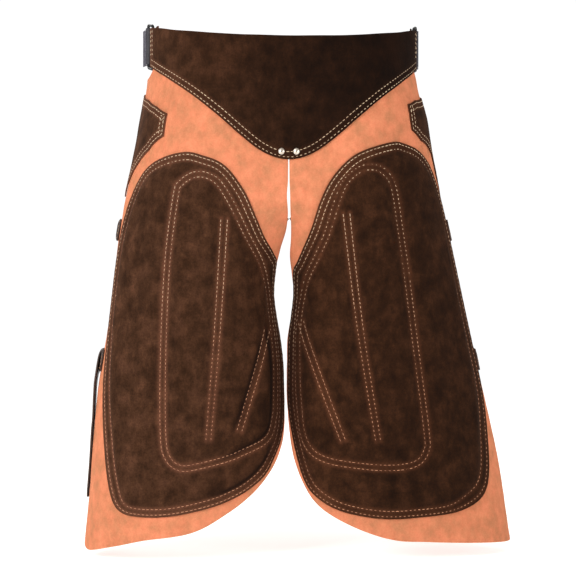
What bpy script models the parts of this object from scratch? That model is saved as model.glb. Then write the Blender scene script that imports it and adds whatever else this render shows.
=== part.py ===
"""Farrier apron of split leather, worn form, held up at the waist.

The apron is cut from two tan leg panels under a dark yoke. A quilted knee pad and a knife pocket lie
on each panel. Two straps with slide buckles close each leg, and a webbing belt closes the waist from
ring to ring. X points to the wearer's left as seen from the front, Y to the back and Z up, in metres.
The origin is the middle of the waist loop. Tables are in millimetres: "across" is measured along the
leather from the centre line, "height" is up from the origin, and "out" is away from the body.
"""

import math

import bpy
import numpy as np
from mathutils import Vector
from mathutils.geometry import delaunay_2d_cdt

MM = 0.001
LEFT = -1
RIGHT = 1

# driving dimensions
PANEL_WALL = 1.8
LAY_GAP = 0.5
YOKE_WALL = 2.0
POCKET_WALL = 1.8
PAD_WALL = 2.6
PAD_RISE = 3.4
PAD_MARGIN = 11.0
PAD_HOLLOW = 0.6
PAD_LAY = LAY_GAP + 0.3
SEAM_HALF = 4.0
RISE_REACH = 13.0
TUCK = 18.0
TUCK_BY_RING = 6.0
PANEL_TOP = (12.0, 221.0, 11.0)
RETURN_CLEAR = 1.2
CENTRE_DIP = 6.0
LATTICE = (12.3, 23.0)
PAD_LATTICE = (17.0, 21.0)
OUTLINE_STEP = 12.0
PANEL_OUTLINE_STEP = 19.2
SEAM_STEP = 11.0
SEAM_SHOULDER = 8.0
RIM_SHOULDER = 9.0
PAD_POINT_GAP = 7.8
PAD_EDGE_CLEAR = 6.0
PAD_LATTICE_CLEAR = 8.0
PANEL_EDGE_CLEAR = 5.0
POCKET_EDGE_CLEAR = 4.0
YOKE_EDGE_CLEAR = 3.5
HOLLOW_REACH = 12.0
CUT_BOW = 0.6

RING_BAR = 4.0
RING_INNER = 55.6
RING_REACH = 24.0
RING_RISE = 5.0
RING_LEVEL = -2.0
RING_CORNER = 4.5
FOLD_RADIUS = RING_BAR / 2 + 0.6
YOKE_END = 225.0
YOKE_RETURN = 24.0
YOKE_ROWS = (-140.0, 20.0, 11.0)
FOLD_COLUMNS_ACROSS = 6
PLY_GAP = 0.4
UPRIGHT_REACH = 34.0
UPRIGHT_HOLD = 12.0
RETURN_LIFT = 0.7
RETURN_LIFT_AT = 20.0
RETURN_LIFT_REACH = 34.0
RETURN_LIFT_FADE = 8.0
BELT_WIDTH = 50.0
BELT_THICK = 1.6
STRAP_WIDTH = 30.0
STRAP_THICK = 2.4
BAR = 3.0
BAR_CORNER = BAR * 0.72
BAR_PITCH = 18.0
BAR_CLEAR = 0.3
FRAME_SPARE = 3.0
THREAD_GAP = 0.6
PLY_SPACE = 0.5
RIVET_ACROSS = 10.0
RIVET_HEIGHT = -150.5
RIVET_SIZE = 8.6
RIVET_DOME = 1.8
RIVET_RIM = 0.7
RIVET_CLEAR = 0.35
WASHER_RIM = 0.6
WASHER_DOME = 0.5
WASHER_CLEAR = 0.4
DISC_SIDES = 16

# horizontal sections of each leg panel: the crest is its foremost line, side and inner are where it
# turns back, and wrap is 0 where both legs share one front and 1 where the leg is round on its own
SECTION_COLUMNS = ("height", "crest_x", "crest_y", "side_x", "side_y", "inner_x", "inner_y", "wrap")
SECTIONS = {
    LEFT: (
        (40, 65, -122.5, 185.5, 8.5, -60, -85, 0.0),
        (0, 65, -122.5, 185.5, 8.5, -56, -84, 0.0),
        (-40, 66, -123, 186, 8, -50, -80, 0.0),
        (-100, 80, -127, 195.5, 6, -30, -70, 0.0),
        (-150, 90, -129, 204.5, 2, -10, -62, 0.0),
        (-220, 99, -130, 219, -4, -3, -58, 0.3),
        (-250, 102, -129.5, 224.5, -5.5, -2, -57, 0.61),
        (-280, 105, -129, 229, -7, 5, -56, 0.9),
        (-310, 107.5, -128.5, 232.5, -8.5, 13, -55.5, 0.99),
        (-340, 110, -128, 236, -10, 16, -56, 1.0),
        (-370, 112.5, -128, 240, -11.5, 12, -57.5, 1.01),
        (-400, 115, -128, 244, -13, 5.5, -60, 1.0),
        (-430, 117.5, -128.5, 248.5, -15, 1, -63.5, 1.0),
        (-470, 121, -129, 254, -18, 0, -68, 1.0),
        (-515, 125, -130.5, 258, -21, -1, -72.5, 1.0),
        (-560, 129, -132, 261, -24, 3, -76, 1.0),
        (-690, 139, -137, 273, -30, 6, -84, 1.0),
    ),
    RIGHT: (
        (40, 65, -122.5, 188.5, 8.5, -60, -85, 0.0),
        (0, 65, -122.5, 188.5, 8.5, -56, -84, 0.0),
        (-40, 66, -123, 189, 8, -50, -80, 0.0),
        (-100, 80, -127, 202.5, 6, -30, -70, 0.0),
        (-150, 90, -129, 210, 2, -10, -62, 0.0),
        (-220, 101, -130, 225, -4, -3, -58, 0.3),
        (-250, 104, -129.5, 231.5, -5.5, -2, -57, 0.61),
        (-280, 107, -129, 238, -7, -4, -56, 0.9),
        (-310, 110, -128.5, 244.5, -8.5, 4, -55.5, 0.99),
        (-340, 113, -128, 251, -10, 9, -56, 1.0),
        (-370, 116, -128, 257.5, -11.5, 4, -57.5, 1.01),
        (-400, 119, -128, 264, -13, -3.5, -60, 1.0),
        (-430, 122.5, -128.5, 270.5, -15, -3.5, -63.5, 1.0),
        (-470, 127, -129, 279, -18, -3, -68, 1.0),
        (-515, 132.5, -130.5, 288.5, -21, -1, -72.5, 1.0),
        (-560, 138, -132, 297, -24, 1, -76, 1.0),
        (-690, 151, -137, 317, -30, 2, -84, 1.0),
    ),
}

# large soft folds: a long trough or ridge at across and height, turned from level, with its depth
FOLD_COLUMNS = ("across", "height", "turn", "length", "width", "depth")
FOLDS = {
    LEFT: (
        (120, -118, 38, 62, 20, 2.2),
        (58, -606, 24, 70, 22, 2.2),
        (215, -240, 78, 95, 26, 1.8),
        (302, -330, 84, 90, 22, 2.0),
        (250, -650, 70, 60, 22, -2.4),
    ),
    RIGHT: (
        (135, -112, -44, 66, 21, 2.8),
        (50, -606, -22, 64, 22, 2.0),
        (225, -235, -80, 90, 26, 1.6),
        (318, -350, -84, 95, 22, 2.2),
        (290, -650, -72, 70, 24, -2.8),
    ),
}

YOKE_COLUMNS = ("across", "top", "bottom")
YOKE_EDGES = (
    (0, 4, -161),
    (22, 4, -157),
    (42, 4, -147),
    (64, 4, -130),
    (96, 6, -102),
    (129, 10, -76),
    (158, 14, -58),
    (190, 20, -42),
    (225, 24.5, -28.5),
    (270, 24.5, -28.5),
)

# edges of the leg panels and what lies on them, as (across, height) corners
SIDE_EDGE = {
    LEFT: ((224, -36), (240, -41), (278, -47), (290, -80), (298, -130), (308, -210), (316, -290),
           (324, -390), (329, -470), (332, -560), (335, -640), (334, -662), (328, -674), (316, -680)),
    RIGHT: ((224, -36), (240, -41), (278, -47), (290, -80), (298, -130), (305, -210), (315, -290),
            (331, -390), (342, -470), (352, -560), (360, -640), (359, -672), (346, -678)),
}
HEM_EDGE = {
    LEFT: ((290, -683), (237, -673), (193, -663), (128, -652), (81, -628), (47, -605), (23, -581),
           (5, -558), (-8, -530), (-12, -495)),
    RIGHT: ((261, -673), (186, -668), (141, -665), (99, -653), (56, -633), (30, -613), (12, -586),
            (-1, -555), (-8, -525), (-12, -495)),
}
INNER_EDGE = {
    LEFT: ((-14, -470), (-14, -420), (-13, -345), (-13, -300), (-12, -266), (-7, -240), (0.6, -212),
           (0.6, -190)),
    RIGHT: ((-14, -470), (-14, -420), (-13, -345), (-12, -300), (-6, -266), (-2, -240), (0.6, -212),
            (0.6, -190)),
}
PAD_EDGE = {
    LEFT: ((143, -152), (193, -165), (228, -190), (254, -235), (271, -300), (277, -375), (272, -460),
           (259, -548), (245, -602), (228, -626), (197, -632), (154, -630), (102, -619), (69, -607),
           (49, -596), (27, -578), (12, -555), (1, -533), (-6, -500), (-8, -455), (-8, -400), (-8, -340),
           (-5, -298), (9, -284), (29, -263), (44, -235), (60, -202), (85, -170), (113, -157)),
    RIGHT: ((143, -136), (163, -137.5), (191, -145), (217, -159.5), (233.5, -177), (246, -199),
            (256, -229), (262.5, -263), (270.5, -315), (277.5, -360), (285, -400), (296, -465),
            (293, -525), (286, -580), (268, -612), (230, -629), (173, -635), (120, -636), (67, -626),
            (34, -608), (18, -588), (7, -556), (0, -530), (-6, -502), (-9, -470), (-9, -400),
            (-9, -345), (-5, -309), (5, -296), (16, -278), (29, -251), (41, -217), (56, -187),
            (79, -161), (104, -147)),
}
POCKET_EDGE = {
    LEFT: ((171, -98), (174, -129), (190, -136), (206, -147), (236, -162), (266, -182), (296, -205),
           (288, -130), (280, -61), (222, -75.5), (195, -86.5)),
    RIGHT: ((175, -83), (180, -118), (203, -131), (228, -138), (254, -151), (272, -170), (294, -205),
            (288, -130), (280, -60), (225, -71), (197, -75.5)),
}

# middle lines of the double stitched seams that pinch each pad
PANEL_SEAM = {
    LEFT: ((12, -495), (19, -522), (29, -534), (43, -541), (61, -548), (79, -555), (120, -565), (144, -567),
           (160, -554), (166, -521), (166, -413), (161, -297), (150, -208), (144, -194), (134, -186),
           (124, -182), (113, -182), (102, -186), (93, -193), (83, -208), (73, -226), (63, -246),
           (53, -265), (40, -285), (30, -301), (21, -320), (14, -345), (11, -400), (10, -450), (12, -495)),
    RIGHT: ((9, -453), (10, -471), (12, -492), (14, -513), (17, -527), (22, -539), (29, -548), (41, -556),
            (67, -563), (128, -569), (168, -564), (183, -546), (183, -519), (169, -406), (157, -310),
            (145, -226), (142, -207), (138, -192), (131, -181), (120, -173), (107, -171), (94, -174),
            (82, -183), (72, -195), (65, -213), (61, -225), (55, -245), (49, -263), (43, -276), (37, -289),
            (29, -303), (20, -320), (13, -342), (9, -370), (8, -410), (9, -453)),
}
SHORT_SEAMS = {
    LEFT: (((86, -240), (95, -386), (107, -532)), ((22, -387), (45, -456), (66, -521))),
    RIGHT: (((76, -232), (95, -387), (118, -534)), ((12, -376), (42, -455), (72, -534))),
}

# straps and belt
STRAP_LEVELS = (-251.0, -430.0)
TAB_SEWN = 30.0
TAB_REACH = 22.0
FREE_END = 30.0
HANG_TURN_FROM = 12.0
HANG_BEND = 20.0
HANGING_END = 198.0
HANG_SETTLE = 48.0
HANG_SLANT = 0.06
HANG_TURNS = range(18, 91, 18)
HANG_STEP = 15.5
FREE_END_STEP = 8.0
ANCHOR_GAP = 1.3
ANCHOR_LENGTH = 26.0
ANCHOR_INSET = 8.0
ANCHOR_BLEND = 40.0
STRAP_BACK = 112.0
STRAP_TIP = 14.0
OVER_TAB = 0.6
ROUTE_STEP = 12.0
HOOK_TURN = range(-90, 91, 30)
BELT_BACK = 118.0
BELT_BEHIND_RING = 18.0
BELT_OUTSIDE_RING = 1.5
BELT_TURNS = (0, 20, 40, 60, 78)
SLIDE_ASIDE = 20.0
BELT_FREE_END = 70.0
BELT_END_CURL = 0.0012
BELT_TIP = 10.0
BELT_FREE_FROM = 14.0
BELT_FREE_STEP = 9.0
BELT_CURL_FROM = 4.0
BELT_BEFORE_TAB = 10.0
RING_HOOK = (30.0, 2.0)
SLIDE_HOOK = (26.0, 1.6)
TAB_SETTLE = 0.9

# the heel of a folded end: shares of its length and of how far it settles toward the outer ply
HOOK_HEEL = ((1.0, 1.0), (0.66, 1.0), (0.3, 0.4))

# a leg strap's way round the back of the leg, level by level: which section column each point is
# measured from, how far aside of it, whether it is measured from the panel or from the strap's
# furthest line back, and how far behind that
BEHIND_LEG = (
    ("inner_x", 17, "inner_y", 36),
    ("inner_x", 25, "inner_y", 88),
    ("inner_x", 52, "back", -17),
    ("crest_x", 6, "back", 0),
    ("side_x", -54, "back", -14),
)

COLOURS = {
    "tan_suede": (0.72, 0.36, 0.19, 0.9, 0.0),
    "brown_suede": (0.075, 0.034, 0.021, 0.92, 0.0),
    "strap_leather": (0.05, 0.024, 0.016, 0.6, 0.0),
    "black_webbing": (0.018, 0.017, 0.02, 0.7, 0.0),
    "black_metal": (0.012, 0.012, 0.014, 0.35, 0.6),
    "nickel": (0.66, 0.58, 0.5, 0.3, 1.0),
}


def material(name):
    """Return the named material, made once."""
    found = bpy.data.materials.get(name)
    if found:
        return found
    made = bpy.data.materials.new(name)
    made.use_nodes = True
    surface = made.node_tree.nodes["Principled BSDF"]
    red, green, blue, roughness, metallic = COLOURS[name]
    surface.inputs["Base Color"].default_value = (red, green, blue, 1.0)
    surface.inputs["Roughness"].default_value = roughness
    surface.inputs["Metallic"].default_value = metallic
    made.diffuse_color = (red, green, blue, 1.0)
    return made


def add_object(name, points, faces, material_name, smooth=True):
    """Make one closed mesh object from points in millimetres."""
    mesh = bpy.data.meshes.new(name)
    mesh.from_pydata([tuple(float(value) * MM for value in point) for point in points], [], faces)
    mesh.validate()
    mesh.materials.append(material(material_name))
    if smooth:
        mesh.shade_smooth()
        mesh.set_sharp_from_angle(angle=math.radians(35))
    made = bpy.data.objects.new(name, mesh)
    bpy.context.scene.collection.objects.link(made)
    return made


def column(table, index, height):
    """Read one column of a section table at any height, smoothly between its rows."""
    rows = np.array(table, dtype=float)[::-1]
    levels = rows[:, 0]
    values = rows[:, index]
    slopes = np.gradient(values, levels)
    low = np.clip(np.searchsorted(levels, height) - 1, 0, len(levels) - 2)
    span = levels[low + 1] - levels[low]
    t = np.clip((height - levels[low]) / span, 0, 1)
    return (
        (1 + 2 * t) * (1 - t) ** 2 * values[low]
        + t * (1 - t) ** 2 * span * slopes[low]
        + t * t * (3 - 2 * t) * values[low + 1]
        + t * t * (t - 1) * span * slopes[low + 1]
    )


TURNS = np.linspace(0, 2.6, 105)


def quarter(distance, reach, depth):
    """Walk a distance along an ellipse from its foremost point; return the steps sideways and back."""
    speed = np.hypot(reach[:, None] * np.cos(TURNS), depth[:, None] * np.sin(TURNS))
    steps = (speed[:, 1:] + speed[:, :-1]) / 2 * np.diff(TURNS)
    walked = np.concatenate([np.zeros((len(reach), 1)), np.cumsum(steps, axis=1)], axis=1)
    below = np.clip((walked < distance[:, None]).sum(axis=1) - 1, 0, len(TURNS) - 2)
    row = np.arange(len(reach))
    part = (distance - walked[row, below]) / (walked[row, below + 1] - walked[row, below])
    turn = TURNS[below] + part * (TURNS[1] - TURNS[0])
    return reach * np.sin(turn), depth * (1 - np.cos(turn))


def leg_form(side, across, height):
    """Point of a leg panel's outer face before its folds."""
    across, height = np.broadcast_arrays(np.asarray(across, float), np.asarray(height, float))
    shape = across.shape
    across = across.ravel()
    height = height.ravel()
    at = {name: column(SECTIONS[side], k, height) for k, name in enumerate(SECTION_COLUMNS)}
    walk = np.abs(across - at["crest_x"])
    outward = across >= at["crest_x"]
    side_step = quarter(walk, at["side_x"] - at["crest_x"], at["side_y"] - at["crest_y"])
    inner_step = quarter(walk, at["crest_x"] - at["inner_x"], at["inner_y"] - at["crest_y"])
    dip = CENTRE_DIP * (1 - np.cos(np.pi * np.clip(walk / at["crest_x"], 0, 2))) / 2
    wrap = np.clip(at["wrap"], 0, 1)
    wrap = wrap * wrap * (3 - 2 * wrap)
    inward_x = (1 - wrap) * walk + wrap * inner_step[0]
    inward_y = (1 - wrap) * dip + wrap * inner_step[1]
    x = np.where(outward, at["crest_x"] + side_step[0], at["crest_x"] - inward_x)
    y = at["crest_y"] + np.where(outward, side_step[1], inward_y)
    return np.stack([side * x.reshape(shape), y.reshape(shape), height.reshape(shape)], axis=-1)


def leg_normal(side, across, height):
    """Outward direction of a leg panel."""
    along = leg_form(side, across + 1.0, height) - leg_form(side, across - 1.0, height)
    up = leg_form(side, across, height + 1.0) - leg_form(side, across, height - 1.0)
    normal = side * np.cross(along, up)
    return normal / np.linalg.norm(normal, axis=-1, keepdims=True)


def fold_depth(side, across, height):
    """Sum of the soft folds, inward where positive."""
    total = np.zeros(np.broadcast(across, height).shape)
    for row in FOLDS[side]:
        fold = dict(zip(FOLD_COLUMNS, row))
        angle = math.radians(fold["turn"])
        aside = across - fold["across"]
        above = height - fold["height"]
        along = (aside * math.cos(angle) + above * math.sin(angle)) / fold["length"]
        beside = (above * math.cos(angle) - aside * math.sin(angle)) / fold["width"]
        total = total + fold["depth"] * np.exp(-along**2 - beside**2)
    return total


def leg_point(side, across, height, out):
    """Point at a distance out from a leg panel's outer face."""
    across = np.asarray(across, float)
    height = np.asarray(height, float)
    lift = np.asarray(out, float) - fold_depth(side, across, height)
    return leg_form(side, across, height) + leg_normal(side, across, height) * lift[..., None]


def smooth_line(points, step, closed=False):
    """Catmull-Rom curve through the points, with a point about every step."""
    points = np.array(points, dtype=float)
    count = len(points)
    line = []
    for k in range(count if closed else count - 1):
        if closed:
            before, start, end, after = (points[(k + shift) % count] for shift in (-1, 0, 1, 2))
        else:
            before = points[max(k - 1, 0)]
            start = points[k]
            end = points[k + 1]
            after = points[min(k + 2, count - 1)]
        pieces = max(1, round(float(np.linalg.norm(end - start)) / step))
        for t in np.arange(pieces) / pieces:
            line.append(0.5 * (
                2 * start + (end - before) * t
                + (2 * before - 5 * start + 4 * end - after) * t * t
                + (3 * start - before - 3 * end + after) * t ** 3
            ))
    if not closed:
        line.append(points[-1])
    return np.array(line)


def cut_line(points, step):
    """Nearly straight cuts between corners, each bowed a little, with a point about every step."""
    line = []
    points = [np.array(point, dtype=float) for point in points]
    for start, end in zip(points[:-1], points[1:]):
        length = float(np.linalg.norm(end - start))
        aside = np.array([start[1] - end[1], end[0] - start[0]]) / length
        pieces = max(1, round(length / step))
        for t in np.arange(pieces) / pieces:
            line.append(start + (end - start) * t + aside * CUT_BOW * math.sin(math.pi * t))
    line.append(points[-1])
    return np.array(line)


def segment_distance(places, line):
    """Distance from each place to a polyline."""
    start = line[:-1][None]
    run = (line[1:] - line[:-1])[None]
    reach = places[:, None] - start
    t = np.clip((reach * run).sum(-1) / np.maximum((run * run).sum(-1), 1e-9), 0, 1)
    return np.linalg.norm(reach - run * t[..., None], axis=-1).min(axis=1)


def inside(places, outline):
    """Which places lie inside a closed outline."""
    x = places[:, 0][:, None]
    y = places[:, 1][:, None]
    start = outline[None]
    end = np.roll(outline, -1, axis=0)[None]
    crosses = (start[..., 1] > y) != (end[..., 1] > y)
    rise = end[..., 1] - start[..., 1]
    at = start[..., 0] + (y - start[..., 1]) / np.where(rise == 0, 1, rise) * (end[..., 0] - start[..., 0])
    return (crosses & (x < at)).sum(axis=1) % 2 == 1


def lattice_points(outline, step, clear):
    """Points of the shared lattice inside an outline, clear of its edge."""
    step = np.array(step)
    low = np.floor(outline.min(axis=0) / step) * step
    high = outline.max(axis=0) + step
    across = np.arange(low[0], high[0], step[0])
    grid = np.stack(np.meshgrid(across, np.arange(low[1], high[1], step[1])), -1).reshape(-1, 2)
    grid = grid[inside(grid, outline)]
    loop = np.vstack([outline, outline[:1]])
    return grid[segment_distance(grid, loop) > clear]


def thin_out(kept, offered, clear):
    """Add the offered points that stay clear of those already kept."""
    kept = list(kept)
    for point in offered:
        if np.linalg.norm(np.array(kept) - point, axis=1).min() > clear:
            kept.append(point)
    return np.array(kept)


def triangles(outline, places):
    """Fill an outline with triangles over its own points and the places inside it."""
    points = [Vector(point) for point in np.vstack([outline, places])]
    ring = list(range(len(outline)))
    edges = [(k, (k + 1) % len(ring)) for k in ring]
    result = delaunay_2d_cdt(points, edges, [], 0, 1e-5, True)
    source = [ids[0] for ids in result[3]]
    flat = np.array(points)
    filled = np.array([[source[k] for k in face] for face in result[2]])
    return filled[inside(flat[filled].mean(axis=1), outline)].tolist()


def leather(name, outline, point_at, outer, inner, material_name, outer_places, inner_places=None):
    """Close a sheet of leather: an outer face, an inner face and the cut edge between them."""
    if inner_places is None:
        inner_places = outer_places
    area = np.cross(outline, np.roll(outline, -1, axis=0)).sum()
    if area < 0:
        outline = outline[::-1]
    outer_flat = np.vstack([outline, outer_places])
    inner_flat = np.vstack([outline, inner_places])
    outer_points = point_at(outer_flat[:, 0], outer_flat[:, 1], outer(outer_flat))
    inner_points = point_at(inner_flat[:, 0], inner_flat[:, 1], inner(inner_flat))
    shift = len(outer_flat)
    faces = [list(face) for face in triangles(outline, outer_places)]
    faces += [[k + shift for k in reversed(face)] for face in triangles(outline, inner_places)]
    count = len(outline)
    for k in range(count):
        after = (k + 1) % count
        faces.append([k, k + shift, after + shift])
        faces.append([k, after + shift, after])
    made = add_object(name, np.vstack([outer_points, inner_points]), faces, material_name)
    face_outward(made)


def face_outward(made):
    """Turn a closed mesh's faces outward where its volume comes out negative."""
    mesh = made.data
    points = np.array([vertex.co for vertex in mesh.vertices])
    volume = 0.0
    for face in mesh.polygons:
        corner = points[list(face.vertices)]
        for k in range(1, len(corner) - 1):
            volume += float(np.dot(corner[0], np.cross(corner[k], corner[k + 1])))
    if volume < 0:
        mesh.flip_normals()


def level(value):
    """A wall face at one distance out."""
    return lambda places: np.full(len(places), value)


def on_leg(side):
    """Point function of one leg panel."""
    return lambda across, height, out: leg_point(side, across, height, out)


def yoke_edge(across, name):
    """Top or bottom height of the yoke at a distance from the centre line."""
    rows = np.array(YOKE_EDGES, dtype=float)
    mirrored = np.vstack([rows[:0:-1] * (-1, 1, 1), rows])
    return column(mirrored[::-1], YOKE_COLUMNS.index(name), np.asarray(across, float))


def front_point(across, height, out):
    """Point on the shared front, whose ends fold back round the waist rings."""
    turn_length = math.pi * FOLD_RADIUS
    side = np.where(across < 0, LEFT, RIGHT)
    walk = np.abs(across)
    past = np.clip(walk - YOKE_END, 0, None)
    turn = np.clip(past / turn_length, 0, 1) * math.pi
    back = np.clip(past - turn_length, 0, None)
    base = np.minimum(walk, YOKE_END) - back
    settle = np.clip(back / YOKE_RETURN, 0, 1)
    settle = settle * settle * (3 - 2 * settle)
    centre_out = LAY_GAP - FOLD_RADIUS
    radius = out - centre_out
    inward = centre_out - radius
    tucked = 2 * LAY_GAP - PLY_GAP - out
    lift = np.where(past > 0, centre_out + radius * np.cos(turn), out)
    lift = np.where(back > 0, inward + (tucked - inward) * settle, lift)
    near_return = np.clip(1 - np.abs(walk - YOKE_END + RETURN_LIFT_AT) / RETURN_LIFT_REACH, 0, 1)
    fade = np.clip((YOKE_END - walk) / RETURN_LIFT_FADE, 0, 1)
    lift = lift + RETURN_LIFT * np.sin(near_return * math.pi / 2) ** 2 * fade
    upright = np.clip((walk - YOKE_END + UPRIGHT_REACH + UPRIGHT_HOLD) / UPRIGHT_REACH, 0, 1)
    upright = upright * upright * (3 - 2 * upright)
    result = np.zeros(across.shape + (3,))
    for one in (LEFT, RIGHT):
        chosen = side == one
        if not chosen.any():
            continue
        near = base[chosen]
        tall = height[chosen]
        bar_level = np.full(near.shape, RING_LEVEL)
        free = leg_point(one, near, tall, lift[chosen])
        straight = leg_point(one, near, bar_level, lift[chosen])
        straight[:, 2] = tall
        share = upright[chosen][:, None]
        along = leg_form(one, near + 1, bar_level) - leg_form(one, near - 1, bar_level)
        along /= np.linalg.norm(along, axis=-1, keepdims=True)
        bulge = radius[chosen] * np.sin(turn[chosen])
        result[chosen] = free * (1 - share) + straight * share + along * bulge[:, None]
    return result


def make_yoke():
    """Front yoke with a pointed curved lower edge and ends folded round the rings."""
    far = YOKE_END + math.pi * FOLD_RADIUS + YOKE_RETURN
    turn_columns = YOKE_END + np.linspace(0, math.pi * FOLD_RADIUS, FOLD_COLUMNS_ACROSS + 1)
    flat_columns = np.arange(0, YOKE_END - YOKE_EDGE_CLEAR, LATTICE[0])
    half = np.concatenate([flat_columns, turn_columns, [far - YOKE_RETURN / 2]])
    columns = np.unique(np.concatenate([-half, half]))
    stations = np.unique(np.concatenate([columns, [-far, far]]))
    bottom = np.stack([stations, yoke_edge(stations, "bottom")], -1)
    top = np.stack([stations, yoke_edge(stations, "top")], -1)[::-1]
    ends = []
    for edge, low, high in ((far, bottom[-1, 1], top[0, 1]), (-far, top[-1, 1], bottom[0, 1])):
        heights = np.linspace(low, high, 5)[1:-1]
        ends.append(np.stack([np.full(3, edge), heights], -1))
    outline = np.vstack([bottom, ends[0], top, ends[1]])
    grid = np.stack(np.meshgrid(columns, np.arange(*YOKE_ROWS)), -1).reshape(-1, 2)
    grid = grid[inside(grid, outline)]
    grid = grid[segment_distance(grid, np.vstack([outline, outline[:1]])) > YOKE_EDGE_CLEAR]
    leather("yoke", outline, front_point, level(LAY_GAP + YOKE_WALL), level(LAY_GAP), "brown_suede", grid)


def panel_outline(side):
    """Outline of a leg panel: under the yoke, down the side, round the hem and up the inner edge."""
    under = np.arange(*PANEL_TOP)
    lower_edge = yoke_edge(under, "bottom")
    by_ring = under > YOKE_END - UPRIGHT_REACH - UPRIGHT_HOLD
    by_return = under > YOKE_END - YOKE_RETURN - TUCK_BY_RING
    below_return = yoke_edge(YOKE_END, "bottom") - RETURN_CLEAR
    tucked = lower_edge + np.where(by_ring, TUCK_BY_RING, TUCK)
    tucked = np.where(by_return, np.minimum(tucked, below_return), tucked)
    top = np.stack([under, tucked], -1)
    centre = INNER_EDGE[side][-1][0]
    top = np.vstack([[centre, yoke_edge(centre, "bottom") + TUCK], top])
    around = smooth_line(SIDE_EDGE[side] + HEM_EDGE[side] + INNER_EDGE[side], PANEL_OUTLINE_STEP)
    return np.vstack([top, around])


def make_panel(side, name):
    """Tan leg panel."""
    outline = panel_outline(side)
    places = lattice_points(outline, LATTICE, PANEL_EDGE_CLEAR)
    leather(name, outline, on_leg(side), level(0.0), level(-PANEL_WALL), "tan_suede", places)


def pad_rise(side, places, outline):
    """Height of the quilting above the pad's stitched seams."""
    loop = np.vstack([outline, outline[:1]])
    edge = segment_distance(places, loop) - PAD_MARGIN
    seams = [smooth_line(PANEL_SEAM[side], 6.0)] + [smooth_line(line, 6.0) for line in SHORT_SEAMS[side]]
    near = np.min([segment_distance(places, seam) for seam in seams], axis=0) - SEAM_HALF
    t = np.clip(np.minimum(edge, near) / RISE_REACH, 0, 1)
    return PAD_RISE * np.sin(t * math.pi / 2)


def seam_points(line, spread):
    """Rows of points along a seam and beside it."""
    rows = []
    path = smooth_line(line, SEAM_STEP)
    run = np.gradient(path, axis=0)
    beside = np.stack([-run[:, 1], run[:, 0]], -1)
    beside /= np.linalg.norm(beside, axis=1, keepdims=True)
    for distance in spread:
        rows.append(path + beside * distance)
    return np.vstack(rows)


def make_pad(side, name):
    """Quilted knee pad: raised between the stitched seams over a plain inside."""
    outline = smooth_line(PAD_EDGE[side], OUTLINE_STEP, closed=True)
    loop = np.vstack([outline, outline[:1]])
    shoulder = SEAM_HALF + SEAM_SHOULDER
    spread = (0.0, -SEAM_HALF, SEAM_HALF, -shoulder, shoulder)
    seams = (PANEL_SEAM[side],) + SHORT_SEAMS[side]
    offered = np.vstack([seam_points(line, spread) for line in seams])
    closed = np.vstack([outline[-1:], outline, outline[:1]])
    run = closed[2:] - closed[:-2]
    inward = np.stack([run[:, 1], -run[:, 0]], -1)
    inward /= np.linalg.norm(inward, axis=1, keepdims=True)
    if not inside(outline[:1] + inward[:1] * PAD_MARGIN / 4, outline)[0]:
        inward = -inward
    rims = [outline + inward * distance for distance in (PAD_MARGIN, PAD_MARGIN + RIM_SHOULDER)]
    offered = np.vstack(rims + [offered, lattice_points(outline, PAD_LATTICE, PAD_LATTICE_CLEAR)])
    offered = offered[inside(offered, outline)]
    offered = offered[segment_distance(offered, loop) > PAD_EDGE_CLEAR]
    kept = thin_out(offered[:1], offered[1:], PAD_POINT_GAP)
    inner_places = lattice_points(outline, LATTICE, PANEL_EDGE_CLEAR)

    def outer(places):
        return LAY_GAP + PAD_WALL + pad_rise(side, places, outline)

    def inner(places):
        return PAD_LAY + PAD_HOLLOW * np.clip(segment_distance(places, loop) / HOLLOW_REACH, 0, 1)

    leather(name, outline, on_leg(side), outer, inner, "brown_suede", kept, inner_places)


def make_pocket(side, name):
    """Flat knife pocket on the hip."""
    corners = POCKET_EDGE[side]
    outline = cut_line(corners + corners[:1], OUTLINE_STEP)[:-1]
    places = lattice_points(outline, (LATTICE[0], LATTICE[1] / 2), POCKET_EDGE_CLEAR)
    outer = level(LAY_GAP + POCKET_WALL)
    leather(name, outline, on_leg(side), outer, level(LAY_GAP), "brown_suede", places)


def tube(name, path, radius, material_name, sides=8):
    """Closed round bar along a closed path."""
    path = np.array(path, dtype=float)
    count = len(path)
    middle = path.mean(axis=0)
    spread = path - middle
    plane = np.linalg.svd(spread)[2][2]
    points = []
    for k in range(count):
        run = path[(k + 1) % count] - path[k - 1]
        run /= np.linalg.norm(run)
        aside = np.cross(run, plane)
        aside /= np.linalg.norm(aside)
        for j in range(sides):
            angle = 2 * math.pi * (j + 0.5) / sides
            points.append(path[k] + radius * (math.cos(angle) * aside + math.sin(angle) * plane))
    faces = []
    for k in range(count):
        for j in range(sides):
            a = k * sides + j
            b = k * sides + (j + 1) % sides
            c = (k + 1) % count * sides + (j + 1) % sides
            d = (k + 1) % count * sides + j
            faces.append([a, b, c, d])
    made = add_object(name, points, faces, material_name)
    face_outward(made)


def ring_frame(side):
    """Middle of a waist ring's front bar, with its directions along the waist and outward."""
    place = np.array([YOKE_END])
    height = np.array([RING_LEVEL])
    centre = leg_point(side, place, height, np.array([LAY_GAP - FOLD_RADIUS]))[0]
    along = (leg_form(side, place + 1, height) - leg_form(side, place - 1, height))[0]
    along[2] = 0.0
    along /= np.linalg.norm(along)
    outward = np.array([side * -along[1], side * along[0], 0.0])
    if outward[0] * side < 0:
        outward = -outward
    return centre, along, outward


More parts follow.
